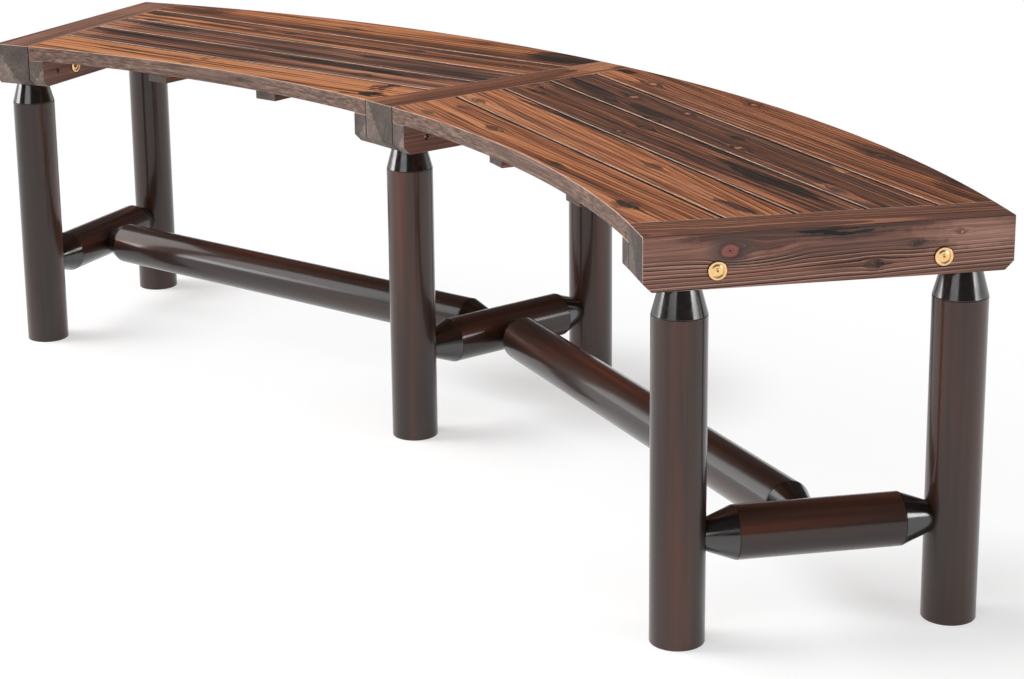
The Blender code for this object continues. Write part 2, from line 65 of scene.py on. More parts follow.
SLAT_END_GAP = 0.0005
FIRST_GAP = 1.5725
SLAT_PITCH = (1.800 - FIRST_GAP) / 3
CLEARANCE = 0.0003
CLEAT_INNER = RAIL_HALF_WIDTH + CLEARANCE
CLEAT_THICKNESS = 0.0255
CLEAT_OUTER = CLEAT_INNER + CLEAT_THICKNESS
CLEAT_TOP = SLAT_BOTTOM - CLEARANCE
BATTEN_WIDTH = 0.036
BATTEN_THICKNESS = 0.014
BATTEN_SPACING = 0.210
BATTEN_SETBACK = 0.012
LEG_RADIUS = 0.030
LEG_STATIONS = {"front": 1.5565, "back": 1.8615}
MIDDLE_STATION = 1.709
COLLAR_BOTTOM = 0.364
COLLAR_TOP_RADIUS = 0.0215
LEG_TENON_RADIUS = 0.015
LEG_TENON_TOP = 0.426
BAR_RADIUS = 0.0295
BAR_HEIGHT = 0.118
BAR_TENON_RADIUS = 0.012
BAR_COLLAR_LENGTH = 0.031
BAR_COLLAR_TIP_RADIUS = 0.018
TENON_IN_LEG = 0.025
TENON_IN_BAR = 0.018
BOLT_STATIONS = {"front": 1.588, "back": 1.830}
SCREW_STATIONS = {"front": 1.545, "back": 1.873}
FIXING_HEIGHT = (RAIL_BOTTOM + SLAT_BOTTOM) / 2
RAIL_ANGLES = {"left": -BAY_ANGLE, "middle": 0.0, "right": BAY_ANGLE}
BAY_ANGLES = {"left": -HALF_BAY, "right": HALF_BAY}

# Holes as (radius, depth) steps from a face. Through holes are given past the far face
SCREW_HOLE_IN_RAIL = [(0.0023, 0.0125)]
SCREW_HOLE_IN_CLEAT = [(0.00425, 0.006), (0.0023, 0.0295)]
BOLT_HOLE = [(0.0109, 0.0015), (0.0033, 0.062)]
NUT_HOLE = [(0.0109, 0.0015), (0.0053, 0.0295)]

# Brass fittings and screws
HEAD_TOP = -0.0018
HEAD_UNDERSIDE = 0.0012
HEAD_RADIUS = 0.0100
BOLT_TIP = 0.0723
NUT_END = 0.0235
SCREW_SEAT = 0.0057
SCREW_TIP = CLEAT_THICKNESS + CLEARANCE + 0.012
THREAD_TURNS = 14
THREAD_PITCH = 0.0018

# Mesh fineness, and how far edges are eased
ARC_STEPS = 48
ROUND_SIDES = 96
SMALL_SIDES = 48
SCREW_SIDES = 32
LONG_EDGE, OTHER_EDGE = 0.0012, 0.0010
SLAT_LONG_EDGE, SLAT_OTHER_EDGE = 0.0013, 0.0006
MM = 0.001

# Radii where turned profiles start and end, near enough to the axis
FITTING_CORE = 0.0001
HOLE_CORE = 0.0002
POST_CORE = 0.0003

# The studio
LIGHT_DISTANCE = 8.0
FILL = 0.22
ROOM_COLOUR = (0.07, 0.07, 0.072, 1.0)
WHITE = (1.0, 1.0, 1.0, 1.0)
FLOOR_HALF_SIZE = 30
FLOOR_COLOUR = (0.95, 0.95, 0.95, 1.0)
FLOOR_SEEN = (0.60, 0.60, 0.60, 1.0)  # as seen directly, where FLOOR_LIFT is added to it
FLOOR_LIFT = 0.50
SHADE_FADE = 0.85  # how far the floor's shade fades to white away from the feet
SHADE_REACH = (0.07, 0.30)  # where that fading starts and ends, from the middle of a foot
WHITE_REACH = (0.95, 2.1)  # where the floor turns all white, from the middle of the bench


def srgb(red, green, blue):
    """Linear colour, with alpha, of an sRGB colour given from 0 to 255."""
    linear = []
    for part in (red, green, blue):
        value = part / 255
        linear.append(value / 12.92 if value <= 0.04045 else ((value + 0.055) / 1.055) ** 2.4)
    return (*linear, 1.0)


def tones(*rows):
    """Stops of a colour ramp from rows of position, red, green and blue."""
    return [(position, srgb(*colour)) for position, *colour in rows]


# Node trees


class Value:
    """A node's output, used in formulas with other outputs, numbers and tuples."""

    def __init__(self, graph, socket):
        self.graph = graph
        self.socket = socket

    def math(self, operation, *others, clamp=False):
        return self.graph.add("Math", enumerate((self, *others)), operation=operation, use_clamp=clamp)

    def __add__(self, other):
        return self.math("ADD", other)

    def __sub__(self, other):
        return self.math("SUBTRACT", other)

    def __rsub__(self, other):
        return self.graph.add("Math", {0: other, 1: self}, operation="SUBTRACT")

    def __mul__(self, other):
        return self.math("MULTIPLY", other)

    def __truediv__(self, other):
        return self.math("DIVIDE", other)

    def __abs__(self):
        return self.math("ABSOLUTE")

    def spread(self, amount):
        """A 0 to 1 value, recentred on zero and scaled."""
        return self.math("MULTIPLY_ADD", 2 * amount, -amount)

    def step(self, low, high, bottom=0.0, top=1.0):
        """Smooth step from bottom to top as the value goes from low to high."""
        values = {0: self, 1: low, 2: high, 3: bottom, 4: top}
        return self.graph.add("MapRange", values, interpolation_type="SMOOTHSTEP")

    def ramp(self, stops):
        """Colour ramp through (position, colour) stops."""
        node = self.graph.node("ValToRGB", {0: self})
        elements = node.color_ramp.elements
        while len(elements) < len(stops):
            elements.new(1.0)
        for element, (position, colour) in zip(elements, stops):
            element.position = position
            element.color = colour
        return Value(self.graph, node.outputs[0])

    def bump(self, distance, strength):
        """Normal of a height given in units of a distance."""
        return self.graph.add("Bump", {"Height": self, "Distance": distance, "Strength": strength})

    def vector(self, operation, *others):
        output = "Value" if operation in ("LENGTH", "DOT_PRODUCT") else "Vector"
        return self.graph.add("VectorMath", enumerate((self, *others)), output, operation=operation)

    def length(self):
        return self.vector("LENGTH")

    def split(self):
        outputs = self.graph.node("SeparateXYZ", {0: self}).outputs
        return [Value(self.graph, outputs[i]) for i in range(3)]

    def local(self, middle, size, turn=0.0):
        """The place measured from a middle point in units of a size, turned about Z."""
        values = {0: self, "Location": middle, "Rotation": (0.0, 0.0, turn), "Scale": size}
        return self.graph.add("Mapping", values, vector_type="TEXTURE")

    def noise(self, stretch, detail=2.0, roughness=0.5, seed=0.0):
        """Noise with so many features per metre along each axis."""
        start = (seed * 3.1, seed * 1.7, seed * 2.3)
        moved = self.graph.add("Mapping", {0: self, "Scale": stretch, "Location": start}, vector_type="POINT")
        values = {"Vector": moved, "Scale": 1.0, "Detail": detail, "Roughness": roughness}
        return self.graph.add("TexNoise", values)

    def grain(self, along, across, detail=2.0, roughness=0.5, seed=0.0):
        """Noise with so many features per metre along X and across it."""
        return self.noise((along, across, across), detail, roughness, seed)


class Graph:
    """Nodes of a new material or world."""

    def __init__(self, name, world=False):
        self.owner = (bpy.data.worlds if world else bpy.data.materials).new(name)
        self.owner.use_nodes = True
        self.tree = self.owner.node_tree
        self.shader = self.tree.nodes.get("Principled BSDF")

    def feed(self, socket, value):
        """Link an output to a socket, or set the socket's own value."""
        if isinstance(value, Value):
            self.tree.links.new(value.socket, socket)
        else:
            socket.default_value = value

    def node(self, kind, values=(), **settings):
        """A new node, its inputs keyed by name or index."""
        node = self.tree.nodes.new("ShaderNode" + kind)
        for key, value in settings.items():
            setattr(node, key, value)
        for key, value in dict(values).items():
            self.feed(node.inputs[key], value)
        return node

    def add(self, kind, values=(), output=0, **settings):
        """One output of a new node."""
        return Value(self, self.node(kind, values, **settings).outputs[output])

    def join(self, x, y, z):
        return self.add("CombineXYZ", {0: x, 1: y, 2: z})

    def mix(self, factor, first, second):
        """Mix of two colours."""
        return self.add("Mix", {0: factor, 6: first, 7: second}, 2, data_type="RGBA")

    def place(self):
        """A point's place on the object, in metres."""
        return self.add("TexCoord", output="Object")

    def grain_frame(self, matrix):
        """The place and the normal in a board's or a post's own frame."""
        coordinates = self.node("TexCoord").outputs
        turn = matrix.to_euler()
        values = {0: Value(self, coordinates["Object"]), "Location": matrix.translation, "Rotation": turn}
        place = self.add("Mapping", values, vector_type="TEXTURE")
        values = {0: Value(self, coordinates["Normal"]), "Rotation": turn}
        return place, self.add("Mapping", values, vector_type="TEXTURE")

    def finish(self, values):
        """Feed the shader's inputs, keyed by name, and give the material."""
        for name, value in values.items():
            self.feed(self.shader.inputs[name], value)
        return self.owner


# Carbonised fir

ORANGE_TONES = tones(
    (0.00, 210, 140, 92), (0.16, 183, 112, 71), (0.32, 149, 89, 58), (0.46, 118, 70, 46),
    (0.60, 90, 55, 39), (0.76, 62, 42, 33), (0.90, 41, 34, 29), (1.00, 27, 26, 24),
)
MAUVE_TONES = tones(
    (0.00, 190, 152, 136), (0.20, 158, 118, 104), (0.40, 126, 91, 80), (0.58, 96, 71, 63),
    (0.76, 68, 54, 50), (0.90, 42, 38, 35), (1.00, 27, 26, 25),
)
FRONT_TONES = tones((0.10, 168, 142, 127), (0.50, 113, 88, 77), (0.80, 68, 53, 46), (1.00, 32, 27, 24))
END_TONES = tones((0.00, 66, 58, 54), (0.35, 92, 81, 75), (0.65, 120, 105, 97), (1.00, 162, 143, 130))
# Pale colour of rounded edges that face up: wear, and a painted highlight
EDGE_HIGHLIGHT_AND_WEAR_COLOUR = srgb(228, 194, 172)
# Dark colour: painted shade in the end corners where boards meet, and a dark line along a side-laid board's
# long upper edges
SEAM_SHADE_AND_DARK_EDGE_COLOUR = srgb(44, 32, 28)
SPECK_COLOUR = srgb(176, 136, 118)

# Looks of knots, in rows of distance from the middle in knot reaches, cover, red, green and blue
KNOTS = {
    "tan": [
        (0.00, 1.0, 150, 92, 60), (0.08, 0.95, 206, 142, 92), (0.20, 0.85, 172, 104, 66),
        (0.30, 0.75, 64, 44, 38), (0.46, 0.45, 46, 38, 36), (0.80, 0.0, 54, 42, 38),
    ],
    "ring": [
        (0.00, 0.75, 50, 40, 36), (0.10, 0.60, 128, 82, 56), (0.20, 0.70, 62, 46, 38),
        (0.28, 0.45, 134, 84, 56), (0.38, 0.50, 56, 43, 37), (0.80, 0.0, 60, 46, 40),
    ],
    "dark": [
        (0.00, 0.80, 34, 31, 31), (0.16, 0.60, 66, 52, 46), (0.30, 0.60, 40, 35, 34),
        (0.50, 0.30, 50, 41, 38), (0.90, 0.0, 54, 44, 40),
    ],
    "chip": [
        (0.00, 0.9, 222, 172, 140), (0.12, 0.8, 196, 132, 100), (0.22, 0.75, 84, 54, 44),
        (0.45, 0.4, 58, 44, 40), (0.85, 0.0, 58, 44, 40),
    ],
    "pink": [
        (0.00, 1.0, 84, 50, 46), (0.05, 1.0, 150, 96, 88), (0.12, 1.0, 126, 76, 70),
        (0.17, 1.0, 152, 96, 88), (0.27, 1.0, 138, 84, 78), (0.35, 0.9, 72, 56, 52),
        (0.55, 0.6, 84, 70, 66), (1.00, 0.0, 84, 70, 66),
    ],
}
KNOT_REACH = 3.0  # in knot radii
KNOT_STRETCH = (1.2, 0.9)  # a knot's half length and half width, in knot radii
USUAL_RING = 4.4  # the ring spacing, in millimetres, for which the streaks' widths are written


@dataclass
class Wood:
    """How one board looks. Lengths in millimetres, from the board's own origin."""

    seed: float
    tone: float  # from bright orange at 0 to charred at 1
    pith: tuple  # where the middle of the tree lies, across the board and up
    ring: float  # distance between growth rings
    tilt: tuple  # how the pith leans along the board
    mauve: float  # how far the orange turns greyer
    contrast: float  # of the broad bands and long streaks
    marks: tuple = ()  # darker patches: x, y, half length, half width, amount, turn in degrees
    knots: tuple = ()  # x, y, radius, kind
    face: str = "top"  # the face on which marks and knots are laid out, top or side
    lines: float = 0.46  # how dark the rings' late wood is
    bared_and_highlit: float = 0.60  # how light the line beside the late wood is, brushed wood and a painted ridge highlight, in units of lines
    wave: float = 4.0  # how far the rings wander
    relief: float = 0.4  # depth of the brushed grain
    top: float = 0.0  # added to the tone of the upper face
    end: float = 0.0  # added to the tone of the sawn ends, where 1 is light
    flame: tuple = None  # middle and turn of the border of a pale patch on the ends: y, z, degrees
    fibre: float = 0.56  # strength of the fine streaks
    shaded_seams: tuple = ()  # -1 or 1: the sides whose end corners are painted with shade, where a board meets them
    sways: tuple = ()  # patches of grain pushed across: x, y, half length, half width, distance


def soft_patch(point, x, y, half_length, half_width, turn=0.0):
    """A patch that is 1 in its middle and falls to 0 at its rim."""
    local = point.local((x * MM, y * MM, 0.0), (half_length * MM, half_width * MM, 1.0), math.radians(turn))
    return local.vector("MULTIPLY", (1.0, 1.0, 0.0)).length().step(1.0, 0.25)


def end_colour(wood, place, late):
    """Sawn ends: the rings as dull grey arcs, and a pale patch beyond the flame's border."""
    rough = place.grain(200.0, 240.0, 4.0, 0.68, wood.seed + 7)
    cloud = place.grain(20.0, 30.0, 1.0, 0.5, wood.seed + 8)
    tone = late * -0.16 + rough.spread(0.42) + cloud.spread(0.35) + (0.50 + wood.end)
    if wood.flame is not None:
        flame_y, flame_z, degrees = wood.flame
        turn, softness = math.radians(degrees), 0.012
        _, y, z = place.split()
        across = (y - flame_y * MM) * (math.cos(turn) / softness)
        across = across + (z - flame_z * MM) * (math.sin(turn) / softness)
        tone = tone + (across + rough.spread(0.5)).step(-0.25, 0.25).spread(0.18)
    return tone.ramp(END_TONES)


def edge_wear_and_painted_light(graph, wood, colour, place, normal):
    """Pale rounded edges, worn and with a painted highlight where they face up, and painted shade in the end
    corners where another board meets this one.
    """
    normal_x, normal_y, normal_z = normal.split()
    square = normal.vector("MULTIPLY", normal)
    roundness = 1.0 - square.vector("DOT_PRODUCT", square)
    low, high = (0.35, 0.60) if wood.face == "top" else (-0.3, 0.1)
    patchy = place.grain(24.0, 60.0, 3.0, 0.6, wood.seed + 9)
    # Rounded edges that face up, in patches: where wear and the painted highlight go
    rounded_edges = roundness.step(0.12, 0.42) * normal_z.step(low, high) * patchy.step(0.32, 0.62, 0.50, 0.92)
    at_end = abs(normal_x).step(0.12, 0.30)
    if wood.face == "side":
        # On a side-laid board the long upper edges are painted dark, and only their ends are pale
        colour = graph.mix(rounded_edges * at_end.step(1.0, 0.0, 0.0, 0.8), colour, SEAM_SHADE_AND_DARK_EDGE_COLOUR)
        rounded_edges = rounded_edges * at_end
    # Pale rounded edges: wear, and a painted highlight where they face up
    colour = graph.mix(rounded_edges, colour, EDGE_HIGHLIGHT_AND_WEAR_COLOUR)
    # Painted shade in the end corners where another board meets this one
    for side in wood.shaded_seams:
        colour = graph.mix((normal_y * side).step(0.20, 0.40) * at_end, colour, SEAM_SHADE_AND_DARK_EDGE_COLOUR)
    return colour


def fir_material(name, wood, matrix, front=None):
    """Brushed and carbonised fir: a solid pattern of growth rings with knots, streaks and char.

    front is the tone of a duller front face, dark as painted shade on the faces in the gaps.
    """
    graph = Graph(name)
    place, normal = graph.grain_frame(matrix)
    seed = wood.seed
    on_side = wood.face == "side"
    x, y, z = place.split()
    normal_x, normal_y, normal_z = normal.split()
    top_face = normal_z.step(0.35, 0.75)
    side_face = abs(normal_y).step(0.45, 0.70)
    if on_side:
        y, z = z + RAIL_HALF_HEIGHT, y
        place = graph.join(x, y, z)
    marked = (top_face if on_side else side_face).step(1.0, 0.0)

    # The grain sways, and goes round the knots
    ragged = place.grain(80.0, 170.0, 3.0, 0.62, seed + 5)
    ragged_too = place.grain(110.0, 120.0, 3.0, 0.62, seed + 15)
    shaken = place.vector("ADD", graph.join(ragged_too.spread(0.0085), ragged.spread(0.0060), 0.0))
    grain_y = y if on_side else y * side_face.step(0.0, 1.0, 1.0, 0.0)
    for *patch, distance in wood.sways:
        grain_y = grain_y + soft_patch(place, *patch) * (distance * MM)
    tails = 0.0
    knot_rings = []
    for knot_x, knot_y, radius, kind in wood.knots:
        size = (radius * KNOT_STRETCH[0] * MM, radius * KNOT_STRETCH[1] * MM, 1.0)
        local = (place if kind == "pink" else shaken).local((knot_x * MM, knot_y * MM, 0.0), size)
        knot_rings.append((local.vector("MULTIPLY", (1.0, 1.0, 0.0)).length(), kind))
        stretched = local.vector("MULTIPLY", (0.55, 1.0, 0.0))
        squared = stretched.vector("DOT_PRODUCT", stretched).math("MAXIMUM", 1.0)
        grain_y = grain_y - local.split()[1] * (radius * MM) / squared
        if kind != "pink":
            tails = local.vector("MULTIPLY", (0.16, 0.75, 0.0)).length().step(1.0, 0.1) + tails

    # Growth rings round the pith: a dark line of late wood, then a light one, brushed wood with a painted
    # highlight of the ridge
    slow = place.grain(1.5, 7.0, 1.0, 0.4, seed)
    quick = place.grain(7.0, 40.0, 2.0, 0.5, seed + 1)
    pith_y, pith_z = (x * wood.tilt[i] + wood.pith[i] * MM for i in (0, 1))
    radius = graph.join(0.0, grain_y - pith_y, z - pith_z).length()
    warped = radius + slow.spread(wood.wave * MM) + quick.spread(0.0009)
    phase = warped / (wood.ring * MM)
    part = phase.math("FRACT")
    white = graph.add("TexWhiteNoise", {"W": phase.math("FLOOR") + seed * 17.0}, noise_dimensions="1D")
    strength = white.step(0.0, 1.0, 0.35, 1.0)
    if on_side:
        calm = y.step(0.004, -0.002, 0.15, 1.0)
        strength = strength * calm.math("MAXIMUM", top_face * 0.6)
    late = part.step(0.62, 0.88) * part.step(1.0, 0.97) * strength
    if not on_side:
        late = late * side_face.step(0.0, 1.0, 1.0, 0.35)
    # A light line after each ring: bared wood and a painted ridge highlight
    bared_and_highlit = part.step(0.34, 0.08) * strength

    # Streaks along the grain, and broad bands of tone
    grain_place = graph.join(x, grain_y, z)
    across = USUAL_RING / wood.ring
    fibre = grain_place.grain(3.4, 400.0 * across, 3.0, 0.58, seed + 2)
    fine = grain_place.grain(22.0, 1300.0 * across, 2.0, 0.6, seed + 3)
    band = grain_place.grain(1.3, 55.0, 3.0, 0.6, seed + 4)
    dark_streak = grain_place.grain(2.2, 160.0 * across, 4.0, 0.64, seed + 12)
    light_streak = grain_place.grain(2.8, 200.0 * across, 4.0, 0.64, seed + 13)
    values = {"W": warped * 90.0 + seed * 5.0, "Scale": 1.0, "Detail": 2.0}
    ring_groups = graph.add("TexNoise", values, noise_dimensions="1D")
    tone = (
        band.spread(0.42 * wood.contrast)
        + ring_groups.spread(0.20 * wood.contrast)
        + fibre.spread(wood.fibre)
        + fine.spread(0.16)
        + late * wood.lines
        + bared_and_highlit * (-wood.bared_and_highlit * wood.lines)
        + dark_streak.step(0.56, 0.70, 0.0, 0.30 * wood.contrast)
        + light_streak.step(0.58, 0.72, 0.0, -0.20 * wood.contrast)
        + top_face * wood.top
        + fibre.step(0.30, 0.62, 0.04, 0.26) * tails
        + (wood.tone - 0.05)
    )

    # Marks, ragged along the grain
    rough_edge = fibre.spread(0.55) + ragged.spread(0.25)
    bend = place.grain(14.0, 60.0, 3.0, 0.6, seed + 14)
    loose = grain_place.vector("ADD", graph.join(ragged_too.spread(0.030), bend.spread(0.014), 0.0))
    for mark_x, mark_y, half_length, half_width, amount, *turn in wood.marks:
        patch = soft_patch(loose, mark_x, mark_y, half_length, half_width, *turn)
        tone = tone + (patch + rough_edge * patch).step(0.10, 0.75) * marked * amount

    redness = grain_place.grain(3.0, 60.0, 2.0, 0.5, seed + 6)
    greyness = redness.spread(0.45) + wood.mauve
    if on_side:
        greyness = greyness + top_face * -0.50
    greyness = greyness.math("MAXIMUM", 0.0, clamp=True)
    colour = graph.mix(greyness, tone.ramp(ORANGE_TONES), tone.ramp(MAUVE_TONES))

    # The knots themselves
    relief = late * 0.9 + bared_and_highlit * -0.25
    for distance, kind in knot_rings:
        rings = (distance + fibre.spread(0.35)) * (1 / KNOT_REACH)
        cover = rings.ramp([(row[0], (row[1], row[1], row[1], 1.0)) for row in KNOTS[kind]]) * marked
        colour = graph.mix(cover, colour, rings.ramp([(row[0], srgb(*row[2:])) for row in KNOTS[kind]]))
        relief = relief + distance.step(1.25, 0.9) * -0.6

    # A slat's front is grey-brown, with short fine streaks; in the gaps it is darkened as painted shade
    if front is not None:
        saw = place.grain(6.0, 400.0, 3.0, 0.62, seed + 21)
        grit = place.grain(90.0, 450.0, 2.0, 0.6, seed + 22)
        front_tone = saw.spread(0.60) + grit.spread(0.20) + front
        colour = graph.mix((normal_y * -1.0).step(0.45, 0.70), colour, front_tone.ramp(FRONT_TONES))

    # Specks where char has flaked off
    specks = place.grain(260.0, 520.0, 1.0, 0.5, seed + 11)
    colour = graph.mix(specks.step(0.745, 0.80) * 0.55, colour, SPECK_COLOUR)

    colour = graph.mix(abs(normal_x).step(0.45, 0.65), colour, end_colour(wood, place, late))
    return graph.finish({
        "Base Color": edge_wear_and_painted_light(graph, wood, colour, place, normal),
        "Roughness": fibre.spread(0.20) + late * -0.12 + 0.56,
        "Specular IOR Level": 0.28,
        "Normal": (relief + fibre * 0.8 + fine * 0.35).bump(wood.relief * MM, 0.85),
    })


# Finishes of the base and the fittings

POST_TONES = tones(
    (0.00, 24, 13, 10), (0.30, 40, 24, 18), (0.55, 57, 34, 25), (0.80, 80, 43, 30), (1.00, 104, 52, 35)
)


def post_material(name, matrix):
    """Dark stained wood under a gloss lacquer, its grain along the frame's Z."""
    graph = Graph(name)
    place, _ = graph.grain_frame(matrix)
    broad = place.noise((30.0, 30.0, 1.5))
    streak = place.noise((150.0, 150.0, 3.5), 4.0, 0.62, 3.0)
    fine = place.noise((800.0, 800.0, 14.0), 2.0, 0.6, 6.0)
    tone = broad.spread(0.95) + streak.spread(0.20) + fine.spread(0.08) + 0.48
    return graph.finish({
        "Base Color": tone.ramp(POST_TONES),
        "Roughness": streak.spread(0.10) + 0.45,
        "Specular IOR Level": 0.2,
        "Coat Weight": 0.8,
        "Coat Roughness": 0.15,
        "Coat IOR": 1.5,
        "Normal": (streak + fine * 0.3).bump(0.0001, 0.35),
    })


def collar_material():
    """Black gloss lacquer with a breath of brown."""
    graph = Graph("collar_black_gloss")
    place = graph.place()
    cloud = place.grain(60.0, 60.0)
    smudge = place.grain(140.0, 140.0, 3.0, 0.6, 4.0)
    return graph.finish({
        "Base Color": cloud.ramp(tones((0.3, 16, 13, 12), (0.7, 34, 25, 21))),
        "Roughness": smudge.step(0.3, 0.8, 0.13, 0.22),
        "IOR": 1.8,
    })


def brass_material():
    """Yellow brass, polished, with faint clouds and a fine grain in its bump."""
    graph = Graph("fitting_brass")
    place = graph.place()
    cloud = place.grain(300.0, 300.0)
    return graph.finish({
        "Base Color": cloud.ramp(tones((0.30, 247, 200, 140), (0.70, 255, 219, 166))),
        "Metallic": 1.0,
        "Roughness": cloud.step(0.3, 0.7, 0.24, 0.34),
        "Normal": place.grain(2600.0, 2600.0, 2.0, 0.6, 2.0).bump(0.00002, 0.5),
    })


def steel_material():
    """Zinc-plated steel, dulled in patches."""
    graph = Graph("fitting_zinc_steel")
    cloud = graph.place().grain(500.0, 500.0, 3.0, 0.6)
    return graph.finish({
        "Base Color": cloud.ramp(tones((0.30, 150, 124, 108), (0.70, 206, 180, 160))),
        "Metallic": 1.0,
        "Roughness": cloud.step(0.3, 0.7, 0.25, 0.42),
    })


# Frames


def station_on_arc(radius, offset):
    """How far out along a rail the arc lies, this far to one side of the rail's middle line."""
    return math.sqrt(radius**2 - offset**2)


def arc_centre():
    """Centre of the seat's arcs on the floor."""
    corner = station_on_arc(INNER_RADIUS, RAIL_HALF_WIDTH)
    front = corner * math.cos(BAY_ANGLE) - RAIL_HALF_WIDTH * math.sin(BAY_ANGLE)
    return Vector((0.0, -(front + OUTER_RADIUS) / 2, 0.0))


def fan_frame(angle):
    """Frame on the arc's centre: Y points out along this angle, X to the right, Z up."""
    return Matrix.Translation(arc_centre()) @ Matrix.Rotation(-angle, 4, "Z")


def axis_frame(start, direction):
    """Frame at start whose Z runs along a horizontal direction and whose Y is straight up."""
    along = Vector(direction).normalized()
    up = Vector((0.0, 0.0, 1.0))
    turn = Matrix((up.cross(along), up, along)).transposed().to_4x4()
    return Matrix.Translation(Vector(start)) @ turn


def sideways_frame(side, offset, station):
    """Frame at the fixings' height on a face to one side of a rail, Z running back towards the rail."""
    return axis_frame((side * offset, station, FIXING_HEIGHT), (-side, 0.0, 0.0))


def rail_frame(angle, height):
    """Grain frame of a piece that runs out from the arc's centre: X along it from the inner arc."""
    start = Matrix.Translation((0.0, INNER_RADIUS, height))
    return fan_frame(angle) @ start @ Matrix.Rotation(math.pi / 2, 4, "Z")


# Meshes


def new_object(name, bm, matrix):
    """Finish a bmesh as an object standing at this frame."""
    bmesh.ops.recalc_face_normals(bm, faces=bm.faces)
    mesh = bpy.data.meshes.new(name)
    bm.to_mesh(mesh)
    bm.free()
    thing = bpy.data.objects.new(name, mesh)
    bpy.context.scene.collection.objects.link(thing)
    thing.matrix_world = matrix
    return thing


def apply_modifiers(thing):
    """Write what the modifiers make into the object's mesh."""
    bpy.context.view_layer.update()
    graph = bpy.context.evaluated_depsgraph_get()
    mesh = bpy.data.meshes.new_from_object(thing.evaluated_get(graph))
    thing.modifiers.clear()
    thing.data = mesh


def cut(thing, bm):
    """Take a bmesh, given in the object's own frame, out of the object."""
    cutter = new_object("cutter", bm, thing.matrix_world.copy())
    modifier = thing.modifiers.new("cut", "BOOLEAN")
    modifier.operation = "DIFFERENCE"
    modifier.solver = "EXACT"
    modifier.object = cutter
    apply_modifiers(thing)
    bpy.data.objects.remove(cutter, do_unlink=True)


def hand_in(thing, node, material, angle=35.0):
    """Shade a finished piece, move it into world coordinates under the root body, and hide the CAD node that
    it replaces.
    """
    thing.data.shade_smooth()
    thing.data.set_sharp_from_angle(angle=math.radians(angle))
    thing.modifiers.new("even_normals", "WEIGHTED_NORMAL").keep_sharp = True
    thing.data.transform(thing.matrix_world)
    thing.matrix_world = Matrix.Identity(4)
    thing.data.materials.clear()
    thing.data.materials.append(material)
    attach(thing, "root")
    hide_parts(node)


def loft(bm, rings, closed=False):
    """Join rings of equally many points by quads. The end rings are closed by a face, or joined."""
    rows = [[bm.verts.new(point) for point in ring] for ring in rings]
    count = len(rows[0])
    pairs = list(zip(rows, rows[1:]))
    if closed:
        pairs.append((rows[-1], rows[0]))
    for lower, upper in pairs:
        for i in range(count):
            j = (i + 1) % count
            bm.faces.new((lower[i], lower[j], upper[j], upper[i]))
    if not closed:
        bm.faces.new(rows[0])
        bm.faces.new(rows[-1])


def prism(outline, bottom, top):
    """Upright prism on an outline of (x, y) points."""
    bm = bmesh.new()
    loft(bm, [[(x, y, z) for x, y in outline] for z in (bottom, top)])
    return bm


def lathe(bm, profile, sides, matrix=None, closed=False):
    """Turn (radius, height) points about Z. An open profile starts and ends on or near the axis."""
    matrix = matrix or Matrix.Identity(4)
    angles = [math.tau * i / sides for i in range(sides)]
    rings = [
        [matrix @ Vector((radius * math.cos(t), radius * math.sin(t), height)) for t in angles]
        for radius, height in profile
    ]
    loft(bm, rings, closed)


def fillet(corner, before, after, radius, steps=4):
    """Points that round off a corner between two neighbours of a profile."""
    corner, before, after = Vector(corner), Vector(before), Vector(after)
    start = corner + (before - corner).normalized() * radius
    end = corner + (after - corner).normalized() * radius
    points = []
    for i in range(steps + 1):
        t = i / steps
        points.append(tuple((1 - t) ** 2 * start + 2 * t * (1 - t) * corner + t**2 * end))
    return points


def rounded(profile, radii):
    """A profile with its corners rounded off by the given radii, 0 for a sharp one."""
    points = []
    for i, (point, radius) in enumerate(zip(profile, radii)):
        if radius == 0:
            points.append(point)
        else:
            points.extend(fillet(point, profile[i - 1], profile[(i + 1) % len(profile)], radius))
    return points


def turned(name, profile, radii, matrix, sides=ROUND_SIDES, closed=False):
    """A piece turned from a profile with rounded corners. A closed profile gives one with a bore."""
    bm = bmesh.new()
    lathe(bm, rounded(profile, radii), sides, closed=closed)
    return new_object(name, bm, matrix)


def board(name, bm, matrix, long_edge=LONG_EDGE, other_edge=OTHER_EDGE):
    """A board from a sharp prism, its grain along X: long upper edges eased more than the others."""
    weights = bm.edges.layers.float.new("bevel_weight_edge")
    bmesh.ops.recalc_face_normals(bm, faces=bm.faces)
    bm.normal_update()
    highest = max(v.co.z for v in bm.verts)
    for edge in bm.edges:
        if len(edge.link_faces) == 2 and edge.calc_face_angle(0.0) < math.radians(20):
            continue
        first, second = (v.co for v in edge.verts)
        along = abs(first.x - second.x)
        is_long = along > abs(first.y - second.y) and along > abs(first.z - second.z)
        is_top = min(first.z, second.z) > highest - 1e-6
        edge[weights] = 1.0 if is_long and is_top else other_edge / long_edge
    thing = new_object(name, bm, matrix)
    modifier = thing.modifiers.new("eased", "BEVEL")
    modifier.limit_method = "WEIGHT"
    modifier.edge_weight = "bevel_weight_edge"
    modifier.width = long_edge
    modifier.segments = 3
    modifier.use_clamp_overlap = True
    apply_modifiers(thing)
    return thing


def hole_cutter(bm, matrix, steps):
    """Cutter for a stepped hole from just outside the frame's origin along its Z."""
    outside = -0.004
    profile = [(HOLE_CORE, outside), (steps[0][0], outside)]
    for i, (radius, depth) in enumerate(steps):
        profile.append((radius, depth))
        if i + 1 < len(steps):
            profile.append((steps[i + 1][0], depth))
    profile.append((HOLE_CORE, steps[-1][1]))
    lathe(bm, profile, SMALL_SIDES, matrix)


# The seat

